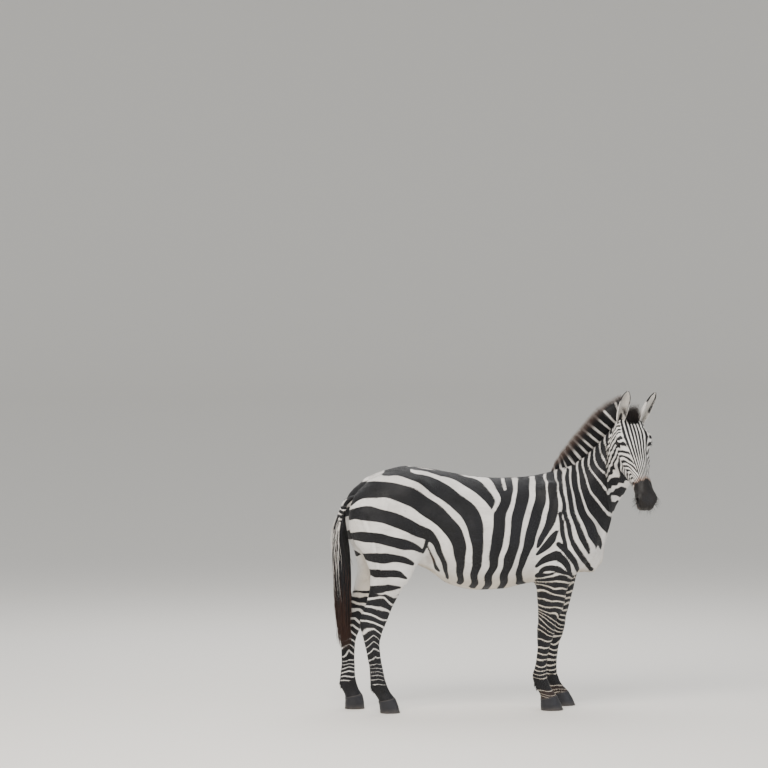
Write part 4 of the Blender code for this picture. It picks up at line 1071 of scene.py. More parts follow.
def made_finer(mesh, chosen):
    """Splits the faces whose corners are chosen, without opening the mesh."""
    with edited(mesh) as bm:
        bm.faces.ensure_lookup_table()
        edges = {e for f in bm.faces if any(chosen[v.index] for v in f.verts) for e in f.edges}
        bmesh.ops.subdivide_edges(bm, edges=list(edges), cuts=1, use_grid_fill=True)
        bmesh.ops.triangulate(bm, faces=[f for f in bm.faces if len(f.verts) > 4])


def finer_skin(obj):
    """More detail on the head, and most round the eyes, the nostrils and the lips."""
    mesh = obj.data
    made_finer(mesh, is_head(points_of(mesh)) > 0.5)
    for rounds, round_eye, round_nostril, round_lip in ((2, 0.040, 0.030, 0.014), (1, 0.030, 0.022, 0.0)):
        p = settle(points_of(mesh), rounds)
        put_points(mesh, p)
        q = head_side(p)
        lip = (np.abs(q[:, 1] - between(q[:, 0], *MOUTH)) < round_lip) & (q[:, 0] > 0.43)
        made_finer(mesh, (gap(q, EYE_PLACE) < round_eye) | (gap(q, NOSTRIL_PLACE) < round_nostril) | lip)
    put_points(mesh, settle(points_of(mesh), rounds=2))


def ear_axis(side):
    return Vector((EAR_AXIS[0], EAR_AXIS[1] * side + EAR_LEAN, EAR_AXIS[2])).normalized()


def ear_grid(side, around=26, up=34):
    """Closed cupped shell of an ear; of each point its share of the height, side and place across."""
    axis = ear_axis(side)
    face = Vector((0.86, 0.30 * side, -0.40))
    face = (face - axis * face.dot(axis)).normalized()
    across = axis.cross(face) * side
    root = Vector(on_head(EAR_ROOT[0], EAR_ROOT[1], EAR_ROOT[2] * side))
    rings, facts = [], []
    for k in range(up + 1):
        h = 1 - (1 - k / up) ** 1.15
        half, cup = [float(between(np.array(h), *line)) - 0.001 for line in (EAR_HALF_WIDTH, EAR_CUP)]
        thick = 0.0042 * (1 - 0.45 * h)
        middle = root + axis * (EAR_LENGTH * h * 0.985 - 0.02)
        sweep = 108 + 26 * (1 - h) ** 2  # the edges close towards the root
        ring = []
        for inward in (0, 1):
            order = range(around) if not inward else range(around - 1, -1, -1)
            for i in order:
                a = math.radians(-sweep + 2 * sweep * i / (around - 1))
                roll = 1 - 0.10 * abs(math.sin(a)) ** 8
                small = max(half - inward * thick, 0.0015)
                shallow = max(cup - inward * thick, 0.0012)
                out = across * (small * roll * math.sin(a))
                out -= face * (shallow * math.cos(a) - inward * 0.3 * thick)
                ring.append(middle + out)
                facts.append((h, inward, math.sin(a)))
        rings.append(ring)
    count = 2 * around
    points = np.array([p for ring in rings for p in ring])
    faces = tube_faces(up + 1, count)
    for base, flip in ((0, True), (up * count, False)):
        for i in range(around - 1):
            quad = (base + i, base + i + 1, base + count - 2 - i, base + count - 1 - i)
            faces.append(quad[::-1] if flip else quad)
    return points, faces, np.array(facts)


# ------------------------------------------------------------------ the lie of the coat
def lie_at(p):
    """Direction in which the hair lies, in the straight pose."""
    u, v, _ = head_place(p)
    c, s = math.cos(NECK_PITCH), math.sin(NECK_PITCH)
    hc, hs = math.cos(HEAD_PITCH), math.sin(HEAD_PITCH)
    trunk, neck, cheek, leg = [np.tile(way, (len(p), 1)) for way in (
        (-0.93, 0.0, -0.36), (-c - 0.25, 0.0, -s),
        (-0.8 * hc + 0.5 * hs, 0.0, -0.8 * hs - 0.5 * hc), (-0.15, 0.0, -1.0))]
    # up the forehead above the eyes, down the nose below them
    forward = smooth_step(0.10, 0.16, u) * 2 - 1
    head = np.stack([forward * hc, 0 * u, forward * hs], 1)
    head = blended(head, cheek, smooth_step(-0.05, -0.09, v))
    way = blended(trunk, neck, smooth_step(-0.05, 0.15, beyond(p, BASE_PLANE)))
    way = blended(way, head, is_head(p))
    way = blended(way, leg, smooth_step(0.86, 0.66, p[:, 2]))
    way = blended(way, leg, smooth_step(-0.68, -0.72, p[:, 0]))
    return way + 0.10 * np.stack([waves(p, 0.2, seed) for seed in (41, 42, 43)], 1)


def combed(p):
    """Coordinates squeezed along the hair, so that a grain drawn on them runs with it."""
    u, v, w = head_place(p)
    s, t = slanted(p, NECK_ROOT, NECK_PITCH)
    squeeze = 0.12
    trunk = np.stack([p[:, 0] * squeeze, p[:, 1], p[:, 2]], 1)
    leg = np.stack([p[:, 0], p[:, 1], 0.7 + squeeze * (p[:, 2] - 0.7)], 1)
    neck = np.stack([s * squeeze + 0.06, w, t + 1.0], 1)
    head = np.stack([u * squeeze + 0.14, w, v + 1.0], 1)
    out = blended(trunk, neck, smooth_step(-0.05, 0.15, beyond(p, BASE_PLANE)))
    out = blended(out, leg, smooth_step(0.80, 0.62, p[:, 2]))
    return blended(out, head, is_head(p))


def turned_way(p, way):
    """A direction of the straight pose, carried to the standing pose."""
    small = 1e-4
    return unit((turned(p + way * small) - turned(p)) / small)


def along_skin(way, normal, lift):
    """The direction laid on the surface and lifted off it; lift is the sine of its angle."""
    flat = unit(way - normal * (way * normal).sum(1)[:, None])
    return flat * math.sqrt(1 - lift ** 2) + normal * lift


def put_attribute(mesh, name, values, domain="POINT"):
    values = np.asarray(values, np.float32)
    kind = "FLOAT" if values.ndim == 1 else "FLOAT_VECTOR"
    layer = mesh.attributes.new(name, kind, domain)
    layer.data.foreach_set("value" if kind == "FLOAT" else "vector", values.ravel())


def put_attributes(mesh, values):
    """Attributes of the points, by name."""
    for name, each in values.items():
        put_attribute(mesh, name, each)


def smooth_shaded(mesh):
    mesh.polygons.foreach_set("use_smooth", [True] * len(mesh.polygons))
    mesh.update()


# ------------------------------------------------------------------ skin, with the ears on it
def build_skin():
    obj = first_skin()
    finer_skin(obj)
    p = points_of(obj.data)
    marks = markings(p)
    n = normals_at(p)
    parts = [(shape_body(shape_head(p, n), n), lie_at(p), np.zeros(len(p)), {**marks, "comb": combed(p)})]
    mesh = obj.data
    with edited(mesh) as bm:
        for side in (1, -1):
            q, faces, facts = ear_grid(side)
            h, inward, edge = facts.T
            marks = plain_marks(len(h), False)
            marks["mark_a"][:, 0] = ear_pattern(h, inward, edge)
            marks["mark_d"][:, 0] = 0.25 * inward
            marks["comb"] = np.stack([edge * 0.03, inward * 0.1, h * 0.02], 1)
            parts.append((q, np.tile(ear_axis(side), (len(q), 1)), np.ones(len(q)), marks))
            verts = [bm.verts.new(point) for point in q]
            for face in faces:
                bm.faces.new([verts[i] for i in face])
        bm.normal_update()
    rest, way, on_ear = [np.concatenate([part[i] for part in parts]) for i in range(3)]
    put_points(mesh, turned(rest))
    put_attributes(mesh, {name: np.concatenate([part[3][name] for part in parts]) for name in marks})
    smooth_shaded(mesh)
    return obj, rest, turned_way(rest, way), on_ear > 0.5


def ear_pattern(h, inward, edge):
    """Black tip, a thin line at the foot of the ear's back; pale inside, with a dark rim and hollow."""
    back = np.minimum(0.70 - h, np.abs(h - 0.14) - 0.024) * EAR_LENGTH
    rim = np.maximum((0.84 - np.abs(edge)) * 0.05, (0.40 - h) * EAR_LENGTH)
    hollow = np.hypot(edge * 0.026, (h - 0.20) * EAR_LENGTH * 0.35) - 0.010
    return np.where(inward > 0.5, np.minimum(rim, hollow), back)


def unwrap(obj):
    """Lays the skin's own shape out flat for the map that the coat shares."""
    obj.data.uv_layers.new(name="OFBake")
    bpy.context.view_layer.objects.active = obj
    for other in bpy.context.selected_objects:
        other.select_set(False)
    obj.select_set(True)
    bpy.ops.object.mode_set(mode="EDIT")
    bpy.ops.mesh.select_all(action="SELECT")
    bpy.ops.uv.smart_project(angle_limit=math.radians(66), island_margin=0.002)
    bpy.ops.object.mode_set(mode="OBJECT")


def uv_of(mesh):
    flat = np.empty(len(mesh.loops) * 2)
    mesh.uv_layers["OFBake"].data.foreach_get("uv", flat)
    return flat.reshape(-1, 2)


# ------------------------------------------------------------------ hair by geometry nodes
PATCH = 0.003  # side of the patch of the map that holds one tuft
HAIR_INPUTS = (
    ("Roots per square metre", "NodeSocketFloat", 9000.0),
    ("Length", "NodeSocketFloat", 0.02),
    ("Half width", "NodeSocketFloat", 0.003),
    ("Thickness share", "NodeSocketFloat", 0.35),
    ("Droop", "NodeSocketFloat", 0.15),
    ("Spread", "NodeSocketFloat", 0.12),
    ("Shortest", "NodeSocketFloat", 0.7),
    ("Seed", "NodeSocketInt", 1),
)


def hair_tree(name, joints):
    """Tufts that grow on a surface: its attributes give their root density, length and direction."""
    tree = bpy.data.node_groups.new(name, "GeometryNodeTree")
    tree.interface.new_socket("Surface", in_out="INPUT", socket_type="NodeSocketGeometry")
    for label, kind, value in HAIR_INPUTS:
        tree.interface.new_socket(label, in_out="INPUT", socket_type=kind).default_value = value
    tree.interface.new_socket("Finish", in_out="INPUT", socket_type="NodeSocketMaterial")
    tree.interface.new_socket("Tufts", in_out="OUTPUT", socket_type="NodeSocketGeometry")
    given = add(tree, "NodeGroupInput", out=None).outputs
    hair, long = [add(tree, "GeometryNodeInputNamedAttribute", {"Name": label}, data_type="FLOAT")
                  for label in ("hair", "long")]
    way, flat, root_uv, blade = [
        add(tree, "GeometryNodeInputNamedAttribute", {"Name": label}, data_type="FLOAT_VECTOR")
        for label in ("lie", "flat", "root_uv", "blade")]

    # one tuft: a three-sided blade, full below its tip, thin and drooping
    cone = add(tree, "GeometryNodeMeshCone", {
        "Vertices": 3, "Side Segments": joints, "Radius Top": 0.0, "Radius Bottom": 1.0, "Depth": 1.0})
    place = add(tree, "GeometryNodeInputPosition")
    kept = add(tree, "GeometryNodeStoreNamedAttribute", {"Geometry": cone, "Name": "blade", "Value": place},
               data_type="FLOAT_VECTOR", domain="POINT")
    z = add(tree, "ShaderNodeSeparateXYZ", {0: place}, out=2)
    full = add(tree, MATH, {0: z, 1: 1.0}, operation="ADD")
    wide = add(tree, MATH, {0: given["Half width"], 1: full}, operation="MULTIPLY")
    thick = add(tree, MATH, {0: wide, 1: given["Thickness share"]}, operation="MULTIPLY")
    sides = add(tree, "ShaderNodeCombineXYZ", {0: wide, 1: thick, 2: given["Length"]})
    shaped = add(tree, VECTOR, {0: place, 1: sides}, operation="MULTIPLY")
    bend = z
    for factor in (z, given["Length"], given["Droop"]):
        bend = add(tree, MATH, {0: bend, 1: factor}, operation="MULTIPLY")
    bend = add(tree, "ShaderNodeCombineXYZ", {1: bend})
    shaped = add(tree, VECTOR, {0: shaped, 1: bend}, operation="SUBTRACT")
    tuft = add(tree, "GeometryNodeSetPosition", {"Geometry": kept, "Position": shaped})

    # where the tufts stand, how they turn and how long each is
    density = add(tree, MATH, {0: given["Roots per square metre"], 1: hair}, operation="MULTIPLY")
    roots = add(tree, "GeometryNodeDistributePointsOnFaces",
                {"Mesh": given["Surface"], "Density": density, "Seed": given["Seed"]})
    stray = add(tree, RANDOM, {0: (-1, -1, -1), 1: (1, 1, 1), "Seed": given["Seed"]},
                data_type="FLOAT_VECTOR")
    stray = add(tree, VECTOR, {0: stray, 3: given["Spread"]}, operation="SCALE")
    way = add(tree, VECTOR, {0: way, 1: stray}, operation="ADD")
    aim = add(tree, AIM, {"Vector": way}, axis="Z")
    aim = add(tree, AIM, {"Rotation": aim, "Vector": flat}, axis="Y", pivot_axis="Z")
    other_seed = add(tree, MATH, {0: given["Seed"], 1: 7.0}, operation="ADD")
    luck = add(tree, RANDOM, {2: given["Shortest"], 3: 1.0, "Seed": other_seed}, out=1, data_type="FLOAT")
    size = add(tree, MATH, {0: luck, 1: long}, operation="MULTIPLY")
    girth = add(tree, MATH, {0: size, 1: 0.5}, operation="POWER")
    girth = add(tree, MATH, {0: girth, 1: 0.3}, operation="MAXIMUM")
    scale = add(tree, "ShaderNodeCombineXYZ", {0: girth, 1: size, 2: size})
    lucky = add(tree, "GeometryNodeStoreNamedAttribute",
                {"Geometry": roots, "Name": "luck", "Value": luck}, data_type="FLOAT", domain="POINT")
    grown = add(tree, "GeometryNodeInstanceOnPoints",
                {"Points": lucky, "Instance": tuft, "Rotation": aim, "Scale": scale})
    solid = add(tree, "GeometryNodeRealizeInstances", {"Geometry": grown})
    patch = add(tree, VECTOR, {0: blade, 3: PATCH / 2}, operation="SCALE")
    patch = add(tree, VECTOR, {0: root_uv, 1: patch}, operation="ADD")
    mapped = add(tree, "GeometryNodeStoreNamedAttribute",
                 {"Geometry": solid, "Name": "OFBake", "Value": patch}, data_type="FLOAT2", domain="CORNER")
    done = add(tree, "GeometryNodeSetMaterial", {"Geometry": mapped, "Material": given["Finish"]})
    add(tree, "NodeGroupOutput", {0: done}, out=None)
    return tree


def grow(name, surface, tree, finish, **sizes):
    """Plain mesh of the tufts that a surface grows."""
    carrier = new_piece(name + "_roots", surface)
    step = carrier.modifiers.new("tufts", "NODES")
    step.node_group = tree
    sockets = {s.name: s.identifier for s in tree.interface.items_tree if s.in_out == "INPUT"}
    for label, _, value in HAIR_INPUTS:
        step[sockets[label]] = sizes.get(label.lower().replace(" ", "_"), value)
    step[sockets["Finish"]] = finish
    mesh = evaluated(carrier)
    for spare in ("root_uv", "lie", "flat", "long", "hair", "comb"):
        if spare in mesh.attributes:
            mesh.attributes.remove(mesh.attributes[spare])
    bpy.data.objects.remove(carrier)
    smooth_shaded(mesh)
    return new_piece(name, mesh)


# ------------------------------------------------------------------ eyes, hooves and long hair
def turned_piece(name, points, faces, finish, attributes):
    """A closed piece made in the straight pose."""
    mesh = mesh_of(turned(np.asarray(points)), faces, name)
    put_attributes(mesh, attributes)
    with edited(mesh) as bm:
        bmesh.ops.recalc_face_normals(bm, faces=bm.faces)
    smooth_shaded(mesh)
    mesh.materials.append(finish)
    return new_piece(name, mesh)


def closed_rings(rings):
    """Points and faces of a tube through rings, closed by a point at each end."""
    count = len(rings[0])
    points = [tuple(p) for ring in rings for p in ring]
    points += [tuple(np.mean(rings[0], axis=0)), tuple(np.mean(rings[-1], axis=0))]
    faces = tube_faces(len(rings), count)
    last = (len(rings) - 1) * count
    for i in range(count):
        j = (i + 1) % count
        faces.append((len(points) - 2, j, i))
        faces.append((len(points) - 1, last + i, last + j))
    return points, faces


EYE_ROOM = 0.0002  # the ball is this much smaller than its socket


def build_eyeball(side, name, finish):
    """Ball with the cornea's bulge; its attribute holds the place over iris and pupil."""
    out, along, up = facing(EYE_GAZE, EYE_LONG)
    rings, sight = [], []
    for k in range(1, 40):
        polar = math.pi * (k / 40) ** 1.25
        bulge = 1 + 0.035 * float(smooth_step(0.60, 0.30, np.array(polar)))
        ring = []
        for a in turns(48):
            local = math.sin(polar) * (math.cos(a) * along + math.sin(a) * up) + math.cos(polar) * out
            q = EYE_PLACE + local * (EYE_RADIUS - EYE_ROOM) * bulge
            ring.append(on_head(q[0], q[1], q[2] * side))
            sight.append((polar * math.cos(a), polar * math.sin(a), 0))
        rings.append(ring)
    points, faces = closed_rings(rings)
    sight += [(0, 0, 0), (math.pi, 0, 0)]
    return turned_piece(name, points, faces, finish, {"sight": sight})


def build_hoof(name, finish):
    """Horn capsule with growth rings, a worn rim and a hollow sole."""
    kind, side, table, swing = leg_parts(name)
    middle, level, slope = HOOF_TOPS[kind]
    rings, shares = [], []

    def section(share, inset, lift=0.0):
        ring = []
        for a in turns(56):
            x, z = middle, 0.0
            for _ in range(4):  # the hair line slopes, so place and height settle together
                z = share * (level + slope * (x - middle))
                back, front, inner, outer, power = [float(value) for value in columns(np.array(z), table)]
                half, wide = (front - back) / 2 - inset, (outer - inner) / 2 - inset
                x = (back + front) / 2 + half * fuller(math.cos(a), power)
            y = (inner + outer) / 2 + wide * fuller(math.sin(a), power)
            x += REACH[name] * float(between(np.array(z), *swing))
            ring.append((x, side * y, z + lift))
            shares.append((share, a, 0))
        rings.append(ring)

    # the hollow sole, the worn rim, the wall with its rings of growth, and the band under the hair
    for share, inset, lift in ((0.0, 0.030, 0.007), (0.0, 0.018, 0.006), (0.0, 0.012, 0.0035),
                               (0.0, 0.0085, 0.0), (0.0, 0.0022, 0.0), (0.035, 0.0006, 0.0)):
        section(share, inset, lift)
    for k in range(1, 23):
        share = 0.06 + 0.90 * k / 23
        section(share, 0.0006 + 0.00035 * math.sin(share * 42) + 0.0004 * math.sin(share * 11))
    for share, inset in ((0.965, 0.0), (0.990, 0.0004), (1.0, 0.0030), (0.985, 0.0080)):
        section(share, inset)
    points, faces = closed_rings(rings)
    shares += [(0, 0, 0), (1, 0, 0)]
    return turned_piece(name, points, faces, finish, {"horn": shares})


class SkinMap:
    """Finds the place on the skin's map nearest to a point."""

    def __init__(self, obj):
        mesh = obj.data
        uv = uv_of(mesh)
        starts = np.empty(len(mesh.polygons), int)
        mesh.polygons.foreach_get("loop_start", starts)
        centres = np.empty(len(mesh.polygons) * 3)
        mesh.polygons.foreach_get("center", centres)
        self.uv = uv[starts]
        self.tree = KDTree(len(starts))
        for i, centre in enumerate(centres.reshape(-1, 3)):
            self.tree.insert(centre, i)
        self.tree.balance()

    def at(self, points):
        return np.array([(*self.uv[self.tree.find(p)[1]], 0.0) for p in points])


def plain_marks(count, dark):
    """Marks of hair that is all dark or all pale."""
    return {
        "mark_a": np.tile((-0.05 if dark else 0.05, 0, 0), (count, 1)),
        "mark_b": np.zeros((count, 3)),
        "mark_c": np.tile((0.1, 0, 0), (count, 1)),
        "mark_d": np.tile((0, 0.03, 0), (count, 1)),
    }


def growing_surface(name, rest, faces, marks, long, way, flat, skin_map):
    """Hidden strip from which mane or forelock grows."""
    final = turned(rest)
    mesh = mesh_of(final, faces, name)
    put_attributes(mesh, {
        **marks, "hair": np.ones(len(rest)), "long": long, "lie": turned_way(rest, way),
        "flat": turned_way(rest, flat), "root_uv": skin_map.at(final)})
    return mesh


def standing_on(line, count):
    """Evenly spaced places on a curve in the XZ plane, and the upright direction at each."""
    line = np.array(line)
    run = lengths_along(line)
    share = np.linspace(0, 1, count)
    at = np.stack([between(share * run[-1], run, line[:, i]) for i in (0, 1)], 1)
    ahead = unit(np.gradient(at, axis=0))
    return share, at, np.stack([-ahead[:, 1], ahead[:, 0]], 1)


def crest_strip(name, line, heights, skin_map, half, fan, sink, all_dark=False):
    """Strip along a line in the XZ plane, with hair that stands on it and fans outward."""
    share, at, up = standing_on(line, 221)
    across = np.linspace(-1, 1, 5)
    narrow = smooth_step(0.0, 0.10, share) * 0.5 + 0.5
    rest, way, flat, long = [], [], [], []
    for a in across:
        base = at - up * sink
        rest.append(np.stack([base[:, 0], a * half * narrow, base[:, 1]], 1))
        way.append(np.stack([up[:, 0], np.full(len(share), a * fan), up[:, 1]], 1))
        flat.append(np.tile((0.0, 1.0, 0.0), (len(share), 1)))
        long.append(between(share, *heights) + sink)
    rest, way, flat, long = (np.concatenate(part) for part in (rest, way, flat, long))
    n = len(share)
    faces = [(r * n + i, r * n + i + 1, (r + 1) * n + i + 1, (r + 1) * n + i)
             for r in range(len(across) - 1) for i in range(n - 1)]
    marks = plain_marks(len(rest), True) if all_dark else markings(rest)
    return growing_surface(name, rest, faces, marks, long, way, flat, skin_map)


def build_bed(name, line, heights, finish, half, top):
    """Solid heart of a standing crest, so that no light shows between its tufts."""
    rings, facts = [], []
    flank = [(-1, -0.1), (-1, 0.15), (-0.8, 0.5), (-0.5, 0.8), (-0.18, 1.0)]
    profile = flank + [(-a, h) for a, h in flank[::-1]]
    for share, at, up in zip(*standing_on(line, 150)):
        high = float(between(np.array(share), *heights)) * top
        rings.append([(at[0] + up[0] * high * h, a * half, at[1] + up[1] * high * h) for a, h in profile])
        facts += [(0.0, 0.0, 0.75 * max(h, 0)) for _, h in profile]
    points, faces = closed_rings(rings)
    facts += [(0, 0, 0), (0, 0, 0)]
    # each side takes its marks from the foot of that side
    foot = [ring[i // len(flank) * (len(profile) - 1)] for ring in rings for i in range(len(profile))]
    marks = markings(np.array(foot + points[-2:]))
    return turned_piece(name, points, faces, finish,
                        {**marks, "blade": facts, "luck": np.full(len(points), 0.5)})


def strands(name, roots, paths, widths, marks, finish, skin_map, sides=3):
    """Long hairs as one mesh of tapering tubes: paths is (hairs, steps, 3) in the straight pose."""
    count, steps = paths.shape[:2]
    along = unit(np.gradient(paths, axis=1))
    first = unit(np.cross(along, (0.31, 0.93, 0.17)))
    second = np.cross(along, first)
    angle = np.array(turns(sides))
    ring = first[:, :, None] * np.cos(angle)[:, None] + second[:, :, None] * np.sin(angle)[:, None]
    points = (paths[:, :, None] + ring * widths[:, :, None, None]).reshape(-1, 3)
    block = steps * sides
    wall = np.array(tube_faces(steps, sides))
    ends = np.array([range(sides)[::-1], range(block - sides, block)])
    offset = np.arange(count)[:, None, None] * block
    faces = (wall + offset).reshape(-1, 4).tolist() + (ends + offset).reshape(-1, sides).tolist()
    mesh = mesh_of(turned(points), faces, name)
    share = np.tile(np.repeat(np.linspace(0, 1, steps), sides), count)
    rng = np.random.default_rng(count)
    put_attributes(mesh, {
        "blade": np.stack([0 * share, 0 * share, share], 1),
        "luck": np.repeat(rng.uniform(0.5, 1, count), block),
        **{label: np.repeat(values, block, axis=0) for label, values in marks.items()}})
    # every hair takes a small ring on the map, round the place of its root
    root_uv = skin_map.at(turned(roots))[:, :2]
    turn = np.tile(np.stack([np.cos(angle), np.sin(angle)], 1), (steps, 1)) * PATCH / 2
    per_point = np.repeat(root_uv, block, axis=0) + np.tile(turn, (count, 1))
    loops = np.empty(len(mesh.loops), int)
    mesh.loops.foreach_get("vertex_index", loops)
    layer = mesh.uv_layers.new(name="OFBake")
    layer.data.foreach_set("uv", per_point[loops].astype(np.float32).ravel())
    smooth_shaded(mesh)
    mesh.materials.append(finish)
    return new_piece(name, mesh)


TAIL_ROOTS = (1.085, 0.115)  # height of the highest, and how far below it the lowest are
LONG_ENDS, SHORT_ENDS = (0.335, 0.22), (0.55, 0.25)  # height of the lowest, and how far above it the rest go
LOCK_WIDTH = 0.0030  # half of a lock's width at its root


def tail_hair(skin_map, finish, locks=1500, steps=13):
    """Long hair that springs from the lower half of the dock and hangs to the hocks."""
    rng = np.random.default_rng(5)
    start = TAIL_ROOTS[0] - TAIL_ROOTS[1] * rng.random(locks) ** 0.8
    is_long = rng.random(locks) < 0.75
    low = LONG_ENDS[0] + LONG_ENDS[1] * rng.random(locks) ** 0.9
    ends = np.where(is_long, low, SHORT_ENDS[0] + SHORT_ENDS[1] * rng.random(locks))
    turn, radius = rng.uniform(0, 2 * math.pi, locks), np.sqrt(rng.random(locks))
    # a few short thin white locks at the back
    white = (rng.random(locks) < 0.13) & (np.cos(turn) < -0.2)
    ends = np.where(white, start - rng.uniform(0.05, 0.42, locks), ends)
    radius = np.where(white, rng.uniform(0.95, 1.3, locks), radius)
    share = np.linspace(0, 1, steps)
    z = start[:, None] + (ends - start)[:, None] * share[None]
    order = TAIL[::-1]
    x0, deep, wide = [between(z.ravel(), order[:, 1], order[:, i]).reshape(z.shape) for i in (0, 2, 3)]
    spread = 0.96 * (radius[:, None] + (1 - radius[:, None]) * np.exp(-share * 7))
    wave = 0.004 * np.sin(share[None] * rng.uniform(5, 10, locks)[:, None] + turn[:, None] * 3)
    fray = share[None, :, None] ** 2 * rng.normal(0, 0.008, (locks, 1, 2))
    brush = 1 + 0.9 * smooth_step(0.47, 0.36, z)
    grow_in = 0.72 + 0.28 * smooth_step(0.0, 0.12, share)[None]
    out = brush * grow_in * spread
    x = x0 + deep * out * np.cos(turn)[:, None] + wave + fray[..., 0]
    y = wide * out * np.sin(turn)[:, None] + wave * 0.7 + fray[..., 1]
    paths = np.stack([x, y, z], 2)
    widths = LOCK_WIDTH * (1 - share ** 2.2)[None] * rng.uniform(0.7, 1.3, locks)[:, None] + 0.0002
    widths = widths * np.where(white, 0.28, 1.0)[:, None]
    marks = plain_marks(locks, True)
    marks["mark_a"][:, 0] = np.where(white, 0.05, -0.05)
    return strands("tail_hair", paths[:, 0], paths, widths, marks, finish, skin_map)


def fine_hairs(name, roots, ways, lengths, finish, skin_map, width, droop, dark=True, steps=5):
    """Whiskers, lashes and the like: single curved hairs from given roots."""
    share = np.linspace(0, 1, steps)
    paths = roots[:, None] + unit(ways)[:, None] * (lengths[:, None] * share[None])[..., None]
    paths = paths + np.asarray(droop)[..., None, :] * (lengths[:, None] * share[None] ** 2)[..., None]
    widths = width * (1 - 0.9 * share)[None] * np.ones((len(roots), 1))
    marks = plain_marks(len(roots), dark)
    return strands(name, roots, paths, widths, marks, finish, skin_map)


# ------------------------------------------------------------------ materials
def colour(code):
    """Linear colour of an sRGB hex value."""
    parts = [int(code[i:i + 2], 16) / 255 for i in (1, 3, 5)]
    return tuple(c / 12.92 if c <= 0.04045 else ((c + 0.055) / 1.055) ** 2.4 for c in parts) + (1.0,)


def new_material(name, **settings):
    """A material with its one shader; settings go on the shader's own sockets."""
    material = bpy.data.materials.new(name)
    material.use_nodes = True
    tree = material.node_tree
    tree.nodes.clear()
    shader = add(tree, "ShaderNodeBsdfPrincipled", settings, out=None)
    add(tree, "ShaderNodeOutputMaterial", {"Surface": shader.outputs[0]}, out=None)
    return material, tree, shader.inputs


RAGGED = 0.0024  # width of the ragged edge of a stripe


